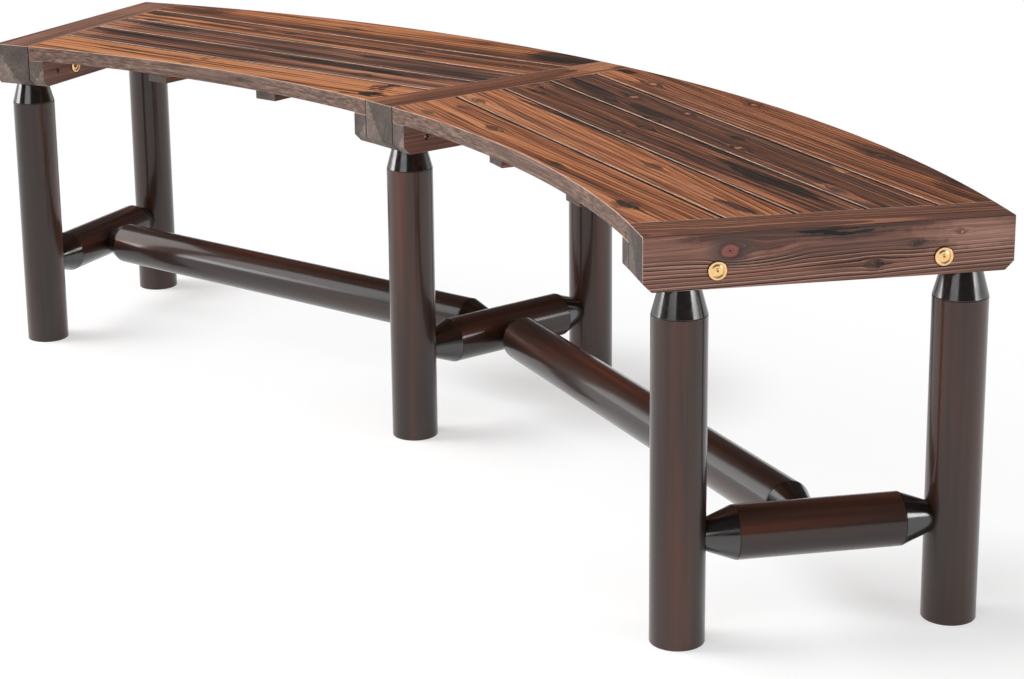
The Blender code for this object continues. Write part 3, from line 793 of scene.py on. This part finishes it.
LEFT_SLATS = [
    Wood(1.3, 0.15, (-120, -60), 8.7, (0.01, 0.0), -0.05, 1.7,
         marks=[(-320, 0, 130, 44, -0.10), (0, 3, 420, 6, 0.26), (-45, 18, 9, 22, 0.30),
                (290, 8, 20, 30, 0.75), (306, -30, 26, 26, 0.75, -20), (280, -48, 26, 8, 0.5),
                (150, -32, 14, 5, 0.5)],
         knots=[(-45, -20, 5, "ring")]),
    Wood(2.1, 0.48, (-100, -90), 8.4, (0.008, 0.0), 0.40, 2.1,
         marks=[(150, 20, 260, 18, 0.30), (225, 14, 50, 11, 0.30), (-360, -10, 70, 50, -0.20)],
         knots=[(212, -13, 6, "ring"), (10, -27, 4, "chip")]),
    Wood(3.7, 0.52, (110, -70), 8.7, (-0.01, 0.0), 0.35, 2.1,
         marks=[(-270, 18, 80, 15, 0.42), (255, 8, 190, 32, 0.22), (-370, -8, 70, 44, -0.24)],
         knots=[(135, 14, 6, "dark"), (-45, -29, 4, "chip"), (192, -29, 4, "chip")]),
    Wood(4.4, 0.49, (90, -55), 8.0, (-0.02, 0.0), 0.05, 2.2,
         marks=[(-340, 0, 130, 44, -0.20), (-280, -26, 170, 10, -0.2), (150, 0, 300, 40, 0.06)],
         knots=[(-367, 17, 6, "dark"), (-340, -25, 6, "dark"), (-145, 5, 5, "dark"),
                (-85, 7, 4, "dark"), (158, 10, 6, "dark"), (350, 5, 4, "chip"), (332, -7, 3, "chip")]),
    Wood(5.9, 0.35, (-90, -80), 8.0, (0.01, 0.0), -0.10, 1.7,
         marks=[(25, 32, 260, 16, -0.20), (-350, 0, 90, 55, 0.22), (365, -4, 95, 50, 0.50)],
         knots=[(-38, -3, 6, "chip"), (202, 15, 5, "ring"), (-335, 0, 6, "dark")]),
]
RIGHT_SLATS = [
    Wood(11.2, 0.27, (-100, -60), 5.4, (0.03, 0.0), 0.0, 1.1,
         marks=[(-330, -10, 100, 46, -0.12), (250, 0, 180, 70, 0.08), (255, -32, 34, 16, 0.22)],
         knots=[(-150, -2, 7, "ring"), (-282, 13, 5, "ring"), (-272, -37, 6, "dark"),
                (52, -17, 4, "dark"), (255, -32, 7, "dark")]),
    Wood(12.6, 0.25, (64, -62), 5.2, (-0.035, 0.02), 0.0, 1.0,
         marks=[(-190, 30, 150, 8, 0.45, 2), (-300, -20, 90, 20, -0.14), (315, -3, 60, 9, 0.5, 2),
                (250, -23, 150, 14, 0.10)],
         knots=[(-310, -23, 7, "ring"), (112, 7, 6, "ring")]),
    Wood(13.5, 0.56, (-70, -60), 5.4, (0.05, 0.0), 0.20, 1.0,
         marks=[(-325, -4, 34, 7, 0.45, 8), (225, 14, 170, 19, 0.34), (260, -26, 130, 14, -0.12),
                (-370, 10, 40, 30, -0.2)],
         knots=[(-365, 9, 7, "ring"), (-70, 16, 7, "ring"), (-68, -21, 5, "chip")]),
    Wood(14.8, 0.58, (90, -60), 5.2, (-0.02, 0.0), 0.20, 1.0,
         marks=[(-320, -8, 110, 16, 0.30), (-150, -12, 90, 12, 0.24), (220, 30, 26, 6, -0.4),
                (315, -23, 80, 12, -0.3), (200, -24, 120, 8, -0.16)],
         knots=[(-240, 12, 7, "tan"), (-238, -23, 6, "dark"), (-120, 25, 6, "tan"),
                (-108, -28, 6, "ring"), (30, 10, 5, "dark"), (75, -15, 7, "tan"), (302, -23, 6, "dark")]),
    Wood(15.1, 0.41, (-100, -75), 5.4, (0.012, 0.0), 0.05, 0.95,
         marks=[(-385, -32, 90, 20, -0.30), (0, -32, 400, 14, -0.12), (240, 24, 220, 30, 0.22),
                (370, 10, 90, 40, 0.22), (-402, -14, 34, 14, 0.5)],
         knots=[(-302, -20, 8, "tan"), (-125, 30, 7, "tan"), (182, 17, 7, "ring")]),
]
SLAT_WOODS = {"left": LEFT_SLATS, "right": RIGHT_SLATS}
FRONT_TONE = 0.54  # of the first slats' front faces
GAP_SHADE_TONE = 0.88  # of the faces in the gaps, darkened as painted shade
RAIL_WOODS = {
    "left": Wood(21.0, 0.42, (90, -40), 4.2, (0.02, 0.0), 0.60, 0.9, end=-0.07, flame=(6, -34, -35),
                 shaded_seams=[-1], marks=[(330, 0, 80, 40, -0.1)]),
    "middle": Wood(22.0, 0.50, (-80, -50), 4.4, (0.02, 0.0), 0.20, 0.9, end=-0.04, flame=(4, -34, -35),
                   shaded_seams=[-1, 1],
                   marks=[(370, 10, 70, 40, -0.34), (330, -18, 70, 20, -0.2), (20, 10, 70, 30, -0.1)],
                   knots=[(322, 4, 4, "dark")]),
    "right": Wood(23.0, 0.40, (66, -20), 4.3, (0.02, 0.0), 0.90, 0.40, face="side", lines=0.50,
                  bared_and_highlit=1.25, wave=3.5, relief=0.9, top=0.12, end=-0.28, flame=(-4, 4, 125), fibre=0.22,
                  shaded_seams=[1], sways=[(122, 4, 60, 20, 5.0)],
                  marks=[(130, 25, 130, 16, 0.24), (240, 21, 100, 12, 0.20, 2), (215, 2, 150, 24, 0.15),
                         (182, 22, 40, 4.5, 0.42, -4), (226, 20, 34, 3, 0.36, 3),
                         (360, 12, 60, 24, -0.14)],
                  knots=[(91, 10, 8, "pink"), (245, -13, 4, "dark"), (290, 6, 3, "dark"),
                         (338, 16, 2.5, "chip")]),
}


def cleat_wood(seed, pith, lean, mauve, flame_y, shaded_seam):
    """Cleats are dull grey-brown, without strong lines."""
    return Wood(seed, 0.47, pith, 4.0, (lean, 0.0), mauve, 0.35, lines=0.18, fibre=0.26,
                flame=(flame_y, -24, 215), shaded_seams=[shaded_seam])


CLEAT_WOODS = {
    "cleat_left": cleat_wood(31.0, (60, -60), 0.02, 0.85, -44, 1),
    "cleat_middle_left": cleat_wood(32.0, (-50, -60), 0.02, 0.85, 40, -1),
    "cleat_middle_right": cleat_wood(33.0, (60, -80), 0.01, 0.75, -44, 1),
    "cleat_right": cleat_wood(34.0, (-60, -60), 0.02, 0.80, 40, -1),
}


def beam_mesh(side_from, side_to, drop):
    """Beam along X, cut off on the seat's two arcs, its lower corners chamfered. Its top is z = 0.

    The sides are offsets to the right of the rail's middle line, which is -Y in the grain frame.
    """
    bm = bmesh.new()
    rings = []
    for offset in (side_from, side_to):
        front = station_on_arc(INNER_RADIUS, offset) - INNER_RADIUS
        back = station_on_arc(OUTER_RADIUS, offset) - INNER_RADIUS
        corners = [
            (front, 0.0), (front, -drop + END_CHAMFER), (front + END_CHAMFER, -drop),
            (back - END_CHAMFER, -drop), (back, -drop + END_CHAMFER), (back, 0.0),
        ]
        rings.append([(x, -offset, z) for x, z in corners])
    loft(bm, rings)
    return bm


def make_beam(node, place, wood, side_from, side_to, top, holes):
    """A rail or a cleat. Its holes are given as (side, offset, station, steps)."""
    matrix = rail_frame(RAIL_ANGLES[place], top)
    beam = board(f"{node}_board", beam_mesh(side_from, side_to, top - RAIL_BOTTOM), matrix)
    cutters = bmesh.new()
    into_beam = matrix.inverted() @ fan_frame(RAIL_ANGLES[place])
    for side, offset, station, steps in holes:
        hole_cutter(cutters, into_beam @ sideways_frame(side, offset, station), steps)
    cut(beam, cutters)
    hand_in(beam, node, fir_material(f"fir_{node}", wood, matrix))


def make_rail(place):
    """One rail, with its fixings' holes."""
    if place == "middle":
        sides, stations, steps = (-1, 1), SCREW_STATIONS, SCREW_HOLE_IN_RAIL
    else:
        sides, stations, steps = (1 if place == "right" else -1,), BOLT_STATIONS, BOLT_HOLE
    half = RAIL_HALF_WIDTH
    holes = [(side, half, station, steps) for side in sides for station in stations.values()]
    make_beam(f"rail_{place}", place, RAIL_WOODS[place], -half, half, SEAT_HEIGHT, holes)


def make_cleat(name, place, side, bolted):
    """One cleat on one face of a rail, with its fixings' holes."""
    inner, outer = side * CLEAT_INNER, side * CLEAT_OUTER
    holes = [(side, CLEAT_OUTER, out, SCREW_HOLE_IN_CLEAT) for out in SCREW_STATIONS.values()]
    if bolted:
        holes += [(side, CLEAT_OUTER, out, NUT_HOLE) for out in BOLT_STATIONS.values()]
    make_beam(name, place, CLEAT_WOODS[name], inner, outer, CLEAT_TOP, holes)


def slat_edge(offset, is_arc):
    """Points of one long edge from left to right, at this distance from the arc's centre."""
    clear = RAIL_HALF_WIDTH + SLAT_END_GAP
    if not is_arc:
        end = (offset * math.sin(HALF_BAY) - clear) / math.cos(HALF_BAY)
        return [(-end, offset), (end, offset)]
    last = HALF_BAY - math.asin(clear / offset)
    angles = [last * (2 * i / ARC_STEPS - 1) for i in range(ARC_STEPS + 1)]
    return [(offset * math.sin(angle), offset * math.cos(angle)) for angle in angles]


def slat_limits(index):
    """Front and back edge of one slat: distance from the arc's centre, and whether it is an arc."""
    front = (INNER_RADIUS, True)
    back = (OUTER_RADIUS, True)
    if index > 0:
        front = (FIRST_GAP + (index - 1) * SLAT_PITCH + SLAT_GAP / 2, False)
    if index < SLATS_PER_BAY - 1:
        back = (FIRST_GAP + index * SLAT_PITCH - SLAT_GAP / 2, False)
    return front, back


def make_slat(bay, index):
    """One slat of a bay, counted from the hollow side."""
    front, back = slat_limits(index)
    middle = (front[0] + back[0]) / 2
    outline = [(x, y - middle) for x, y in slat_edge(*front) + slat_edge(*back)[::-1]]
    matrix = fan_frame(BAY_ANGLES[bay]) @ Matrix.Translation((0.0, middle, SEAT_HEIGHT))
    node = f"slat_{bay}_{index + 1}"
    bm = prism(outline, SLAT_BOTTOM - SEAT_HEIGHT, 0.0)
    slat = board(f"{node}_board", bm, matrix, SLAT_LONG_EDGE, SLAT_OTHER_EDGE)
    # The faces in the gaps get a painted shade
    front_tone = GAP_SHADE_TONE if index > 0 else FRONT_TONE
    hand_in(slat, node, fir_material(f"fir_{node}", SLAT_WOODS[bay][index], matrix, front_tone))


def make_batten(bay, number, side):
    """One batten across the underside of a bay's slats."""
    middle = side * BATTEN_SPACING / 2
    front = station_on_arc(INNER_RADIUS, middle) + BATTEN_SETBACK - INNER_RADIUS
    back = station_on_arc(OUTER_RADIUS, middle) - BATTEN_SETBACK - INNER_RADIUS
    half = BATTEN_WIDTH / 2
    outline = [(front, -half), (back, -half), (back, half), (front, half)]
    matrix = rail_frame(BAY_ANGLES[bay], CLEAT_TOP) @ Matrix.Translation((0.0, -middle, 0.0))
    node = f"batten_{bay}_{number}"
    batten = board(f"{node}_board", prism(outline, -BATTEN_THICKNESS, 0.0), matrix)
    seed = 40.0 + number + (2 if bay == "right" else 0)
    wood = Wood(seed, 0.50, (50, -60), 3.8, (0.02, 0.0), 0.6, 0.6, end=-0.16)
    hand_in(batten, node, fir_material(f"fir_{node}", wood, matrix))


# Fixings


def make_fitting(node, place, side, offset, station, slot, material, profile, radii, cutter, **turning):
    """Turned fitting in one side of a rail or cleat, with a socket or slot cut into its head."""
    matrix = fan_frame(RAIL_ANGLES[place]) @ sideways_frame(side, offset, station)
    fitting = turned(f"{node}_turned", profile, radii, matrix, **turning)
    cut(fitting, cutter)
    hand_in(fitting, node, material, 30)


def hexagon(flats, depth):
    """Cutter of a hexagon socket, from just outside a head."""
    bm = bmesh.new()
    corner = flats / 2 / math.cos(math.pi / 6)
    lathe(bm, [(corner, HEAD_TOP - 0.002), (corner, HEAD_TOP + depth)], 6)
    return bm


def make_bolt(node, place, outward, station, material):
    """Connector bolt: flat rim, then a step and a shallow dish round a hexagon socket."""
    shank = 0.0030
    profile = [
        (FITTING_CORE, HEAD_TOP + 0.0001), (0.0022, HEAD_TOP + 0.0001), (0.0027, HEAD_TOP + 0.0005),
        (0.0048, HEAD_TOP + 0.0005), (0.0071, HEAD_TOP + 0.0014), (0.0074, HEAD_TOP + 0.0002),
        (0.0083, HEAD_TOP), (HEAD_RADIUS, HEAD_TOP), (HEAD_RADIUS, HEAD_UNDERSIDE),
        (shank, HEAD_UNDERSIDE), (shank, BOLT_TIP), (FITTING_CORE, BOLT_TIP),
    ]
    radii = [0, 0.0002, 0.0002, 0.0003, 0.0002, 0.0001, 0.0003, 0.0007, 0, 0, 0.0005, 0]
    where = (place, outward, RAIL_HALF_WIDTH, station)
    socket = hexagon(0.0026, 0.0035)
    make_fitting(node, *where, "brass", material, profile, radii, socket, sides=SMALL_SIDES)


def make_nut(node, place, side, station, material):
    """Sleeve nut: rounded rim, dished face round a hexagon socket."""
    bore, barrel = 0.0033, 0.0050
    profile = [
        (bore, HEAD_TOP + 0.0015), (0.0066, HEAD_TOP + 0.0015), (0.0076, HEAD_TOP + 0.0003),
        (0.0082, HEAD_TOP), (HEAD_RADIUS, HEAD_TOP), (HEAD_RADIUS, HEAD_UNDERSIDE),
        (barrel, HEAD_UNDERSIDE), (barrel, NUT_END), (bore, NUT_END),
    ]
    radii = [0, 0.0005, 0.0004, 0.0003, 0.0007, 0, 0, 0.0005, 0]
    where = (place, side, CLEAT_OUTER, station)
    socket = hexagon(0.0080, 0.0055)
    make_fitting(node, *where, "brass", material, profile, radii, socket, sides=SMALL_SIDES, closed=True)


def make_screw(node, place, side, station, material):
    """Slotted screw with a domed head, sunk in its recess."""
    seat = SCREW_SEAT
    profile = [
        (FITTING_CORE, seat - 0.0027), (0.0018, seat - 0.0026), (0.0030, seat - 0.0021),
        (0.0035, seat - 0.0014), (0.0035, seat), (0.0020, seat),
    ]
    for turn in range(THREAD_TURNS):
        height = seat + 0.001 + turn * THREAD_PITCH
        profile += [(0.0020, height), (0.0016, height + 0.0007)]
    profile += [(0.0014, SCREW_TIP - 0.004), (FITTING_CORE, SCREW_TIP)]
    head_radii = [0, 0.0004, 0.0004, 0.0003, 0.0002]
    radii = head_radii + [0] * (len(profile) - len(head_radii))
    slot = bmesh.new()
    bmesh.ops.create_cube(slot, size=1.0)
    slot_size = Matrix.Diagonal((0.0009, 0.0090, 0.0026, 1.0))
    slot_turn = Matrix.Rotation(math.radians(35), 4, "Z")
    slot_place = Matrix.Translation((0.0, 0.0, seat - 0.0027)) @ slot_turn
    bmesh.ops.transform(slot, matrix=slot_place @ slot_size, verts=slot.verts)
    where = (place, side, CLEAT_OUTER, station)
    make_fitting(node, *where, "steel", material, profile, radii, slot, sides=SCREW_SIDES)


# The base


def leg_frame(place, end):
    """Upright frame on the floor under the middle of a leg."""
    return fan_frame(RAIL_ANGLES[place]) @ Matrix.Translation((0.0, LEG_STATIONS[end], 0.0))


def make_leg(place, end, material):
    """Round leg with its foot's edge eased and a tenon on top."""
    profile = [
        (POST_CORE, 0.0), (LEG_RADIUS, 0.0), (LEG_RADIUS, COLLAR_BOTTOM),
        (LEG_TENON_RADIUS, COLLAR_BOTTOM), (LEG_TENON_RADIUS, LEG_TENON_TOP),
        (POST_CORE, LEG_TENON_TOP),
    ]
    node = f"leg_{place}_{end}"
    leg = turned(f"{node}_post", profile, [0, 0.0016, 0.0005, 0, 0.001, 0], leg_frame(place, end))
    hand_in(leg, node, material)


def make_leg_collar(place, end, material):
    """Tapered collar between a leg's shoulder and the rail."""
    bottom = COLLAR_BOTTOM + CLEARANCE
    top = RAIL_BOTTOM - CLEARANCE
    bore = LEG_TENON_RADIUS + CLEARANCE
    profile = [(bore, bottom), (LEG_RADIUS, bottom), (COLLAR_TOP_RADIUS, top), (bore, top)]
    node = f"leg_collar_{place}_{end}"
    radii = [0, 0.0008, 0.0008, 0]
    collar = turned(f"{node}_cone", profile, radii, leg_frame(place, end), closed=True)
    hand_in(collar, node, material)


def make_bar(node, length, setback, tenon_setback, matrix):
    """Round bar along the frame's Z between two joints, with a tenon at each end."""
    half = [
        (POST_CORE, tenon_setback), (BAR_TENON_RADIUS, tenon_setback),
        (BAR_TENON_RADIUS, setback), (BAR_RADIUS, setback),
    ]
    half_radii = [0, 0.001, 0, 0.0005]
    profile = half + [(radius, length - height) for radius, height in reversed(half)]
    bar = turned(f"{node}_bar", profile, half_radii + half_radii[::-1], matrix)
    hand_in(bar, node, post_material(f"lacquered_{node}", matrix))


def saddle_height(x, y, axis, radius):
    """How far out along Z a round post or bar through the origin reaches at this x and y."""
    lean = x * axis.x + y * axis.y
    a = 1 - axis.z**2
    b = -2 * axis.z * lean
    c = x**2 + y**2 - lean**2 - radius**2
    return (-b + math.sqrt(max(b**2 - 4 * a * c, 0.0))) / (2 * a)


def make_bar_collar(node, joint_radius, joint_axis, matrix, material):
    """Tapered collar at a bar's end, saddled to the round post or bar that it meets.

    The frame's origin is on that post's axis, and its Z runs out along the bar.
    """
    shoulder = joint_radius + BAR_COLLAR_LENGTH - CLEARANCE
    slope = (BAR_RADIUS - BAR_COLLAR_TIP_RADIUS) / BAR_COLLAR_LENGTH
    bore = BAR_TENON_RADIUS + CLEARANCE
    touch = joint_radius + CLEARANCE
    down_the_cone = (BAR_RADIUS - slope * 0.01, shoulder - 0.01)
    edge = fillet((BAR_RADIUS, shoulder), down_the_cone, (bore, shoulder), 0.0008)
    columns = []
    for i in range(ROUND_SIDES):
        angle = math.tau * i / ROUND_SIDES
        cos, sin = math.cos(angle), math.sin(angle)
        # The tip's radius and height depend on each other, and six turns settle them
        radius = BAR_COLLAR_TIP_RADIUS
        for _ in range(6):
            height = saddle_height(radius * cos, radius * sin, joint_axis, touch)
            radius = BAR_RADIUS - slope * (shoulder + CLEARANCE - height)
        inner = saddle_height(bore * cos, bore * sin, joint_axis, touch)
        side_run = edge[0][1] - height
        points = [(bore, inner), (radius - 0.0005, height + 0.0001), (radius, height + 0.0006)]
        for t in (0.25, 0.5, 0.75):
            points.append((radius + slope * t * side_run, height + t * side_run))
        columns.append([(r * cos, r * sin, h) for r, h in [*points, *edge, (bore, shoulder)]])
    bm = bmesh.new()
    loft(bm, list(zip(*columns)), closed=True)
    hand_in(new_object(f"{node}_cone", bm, matrix), node, material)


def make_stretcher(node, length, joint_radius, tenon, ends, black):
    """Bar between two joints, and its collars: (node, frame, axis of the post or bar that it meets)."""
    make_bar(node, length, joint_radius + BAR_COLLAR_LENGTH, joint_radius - tenon, ends[0][1])
    for collar, matrix, axis in ends:
        make_bar_collar(collar, joint_radius, axis, matrix, black)


def make_cross_stretcher(place, black):
    """Bar from the front leg to the back leg."""
    ends = []
    for end, out in (("front", 1.0), ("back", -1.0)):
        joint = axis_frame((0.0, LEG_STATIONS[end], BAR_HEIGHT), (0.0, out, 0.0))
        matrix = fan_frame(RAIL_ANGLES[place]) @ joint
        ends.append((f"cross_collar_{place}_{end}", matrix, Vector((0.0, 1.0, 0.0))))
    length = LEG_STATIONS["back"] - LEG_STATIONS["front"]
    make_stretcher(f"cross_stretcher_{place}", length, LEG_RADIUS, TENON_IN_LEG, ends, black)


def make_long_stretcher(bay, black):
    """Bar between two cross stretchers."""
    half, out = MIDDLE_STATION * math.sin(HALF_BAY), MIDDLE_STATION * math.cos(HALF_BAY)
    ends = []
    for end, turn in (("left", 1), ("right", -1)):
        joint = axis_frame((-turn * half, out, BAR_HEIGHT), (turn, 0.0, 0.0))
        axis = Vector((math.cos(turn * HALF_BAY), 0.0, -math.sin(turn * HALF_BAY)))
        ends.append((f"long_collar_{bay}_{end}", fan_frame(BAY_ANGLES[bay]) @ joint, axis))
    make_stretcher(f"long_stretcher_{bay}", 2 * half, BAR_RADIUS, TENON_IN_BAR, ends, black)


def make_bench():
    """Every piece of the bench."""
    post = post_material("lacquered_legs", Matrix.Identity(4))
    black = collar_material()
    brass = brass_material()
    steel = steel_material()
    for place in RAIL_ANGLES:
        make_rail(place)
        make_cross_stretcher(place, black)
        for end in LEG_STATIONS:
            make_leg(place, end, post)
            make_leg_collar(place, end, black)
    for name, place, side, bolted in (
        ("cleat_left", "left", 1, True),
        ("cleat_middle_left", "middle", -1, False),
        ("cleat_middle_right", "middle", 1, False),
        ("cleat_right", "right", -1, True),
    ):
        make_cleat(name, place, side, bolted)
        if bolted:
            for end, station in BOLT_STATIONS.items():
                make_bolt(f"connector_bolt_{place}_{end}", place, -side, station, brass)
                make_nut(f"sleeve_nut_{place}_{end}", place, side, station, brass)
        else:
            for end, station in SCREW_STATIONS.items():
                make_screw(f"{name.replace('cleat', 'screw')}_{end}", place, side, station, steel)
    for bay in BAY_ANGLES:
        for index in range(SLATS_PER_BAY):
            make_slat(bay, index)
        for number, side in ((1, -1), (2, 1)):
            make_batten(bay, number, side)
        make_long_stretcher(bay, black)


# Floor, light and camera


def seen_directly(graph):
    """1 for rays from the camera, and for those that a mirror or a glass sends on."""
    outputs = graph.node("LightPath").outputs
    camera, glossy, through = (
        Value(graph, outputs[f"Is {kind} Ray"]) for kind in ("Camera", "Glossy", "Transmission")
    )
    return camera.math("MAXIMUM", glossy.math("MAXIMUM", through))


def foot_distance(place):
    """How far a point of the floor is from the middle of the nearest foot, up to 1 metre."""
    nearest = 1.0
    for rail in RAIL_ANGLES:
        for end in LEG_STATIONS:
            low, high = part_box(f"leg_{rail}_{end}")
            foot = ((low.x + high.x) / 2, (low.y + high.y) / 2, 0.0)
            nearest = place.vector("SUBTRACT", foot).length().math("MINIMUM", nearest)
    return nearest


def make_floor():
    """Wide white floor that keeps a pale shadow round the feet."""
    mesh = bpy.data.meshes.new("studio_floor")
    half = FLOOR_HALF_SIZE
    corners = [(x, y, 0.0) for x, y in ((-half, -half), (half, -half), (half, half), (-half, half))]
    mesh.from_pydata(corners, [], [(0, 1, 2, 3)])
    floor = bpy.data.objects.new("studio_floor", mesh)
    bpy.context.scene.collection.objects.link(floor)
    graph = Graph("studio_floor")
    graph.tree.nodes.remove(graph.shader)
    seen = seen_directly(graph)
    shaded = graph.add("BsdfDiffuse", {"Color": graph.mix(seen, FLOOR_COLOUR, FLOOR_SEEN)})
    lift = graph.add("Emission", {"Color": WHITE, "Strength": seen * FLOOR_LIFT})
    near = graph.add("AddShader", {0: shaded, 1: lift})
    far = graph.add("Emission", {"Color": WHITE, "Strength": 1.0})
    place = graph.place()
    open_floor = foot_distance(place).step(*SHADE_REACH) * SHADE_FADE
    away = seen * open_floor.math("MAXIMUM", place.length().step(*WHITE_REACH))
    blend = graph.add("MixShader", {0: away, 1: near, 2: far})
    graph.feed(graph.tree.nodes["Material Output"].inputs[0], blend)
    mesh.materials.append(graph.owner)


def make_world():
    """Even soft fill. Seen directly, the room is dark above a white band round the horizon."""
    graph = Graph("studio", world=True)
    bpy.context.scene.world = graph.owner
    height = graph.add("TexCoord", output="Generated").split()[2]
    room = graph.mix(height.step(0.07, 0.14, 1.0, 0.0), ROOM_COLOUR, WHITE)
    background = graph.tree.nodes["Background"]
    colour = graph.mix(seen_directly(graph), (FILL, FILL, FILL, 1.0), room)
    graph.feed(background.inputs["Color"], colour)
    background.inputs["Strength"].default_value = 1.0


def make_light(name, azimuth, elevation, half_width, half_height, radiance, mirrored=True):
    """Softbox aimed at the bench, placed and sized by degrees as seen from there, 0 being +X."""
    light = bpy.data.lights.new(name, "AREA")
    light.shape = "RECTANGLE"
    light.size = 2 * LIGHT_DISTANCE * math.tan(math.radians(half_width))
    light.size_y = 2 * LIGHT_DISTANCE * math.tan(math.radians(half_height))
    light.energy = radiance * math.pi * light.size * light.size_y
    lamp = bpy.data.objects.new(name, light)
    bpy.context.scene.collection.objects.link(lamp)
    turn, rise = math.radians(azimuth), math.radians(elevation)
    direction = Vector((math.cos(turn) * math.cos(rise), math.sin(turn) * math.cos(rise), math.sin(rise)))
    lamp.location = Vector((0.0, 0.0, 0.3)) + direction * LIGHT_DISTANCE
    lamp.rotation_euler = direction.to_track_quat("Z", "Y").to_euler()
    lamp.visible_camera = False
    lamp.visible_glossy = mirrored


def make_camera():
    """Camera at the photograph's viewing angle, found from the bench's corners in it."""
    place = (2.4718, -1.8319, 1.0820)
    yaw, pitch, roll = 0.9064, 0.2615, -0.0103
    data = bpy.data.cameras.new("camera")
    data.sensor_width = 36.0
    data.lens = 84.77
    data.shift_y = -0.10
    data.clip_end = 100.0
    camera = bpy.data.objects.new("camera", data)
    bpy.context.scene.collection.objects.link(camera)
    aim = Matrix.Rotation(yaw, 4, "Z") @ Matrix.Rotation(math.pi / 2 - pitch, 4, "X")
    camera.matrix_world = Matrix.Translation(place) @ aim @ Matrix.Rotation(roll, 4, "Z")
    bpy.context.scene.camera = camera


make_bench()
make_floor()
make_world()
make_light("left_softbox", -143, 36, 23, 30, 2.6)
make_light("left_core", -136, 10.5, 15, 5.5, 5.5)
make_light("front_softbox", -70, 19, 16, 7, 2.0)
make_light("right_strip", 27, 13, 13, 5.5, 8.0)
make_light("front_fill", -40, 52, 26, 24, 0.70, mirrored=False)
make_light("left_key", -130, 44, 9, 9, 7.0, mirrored=False)
make_camera()
bpy.context.scene.view_settings.view_transform = "Standard"
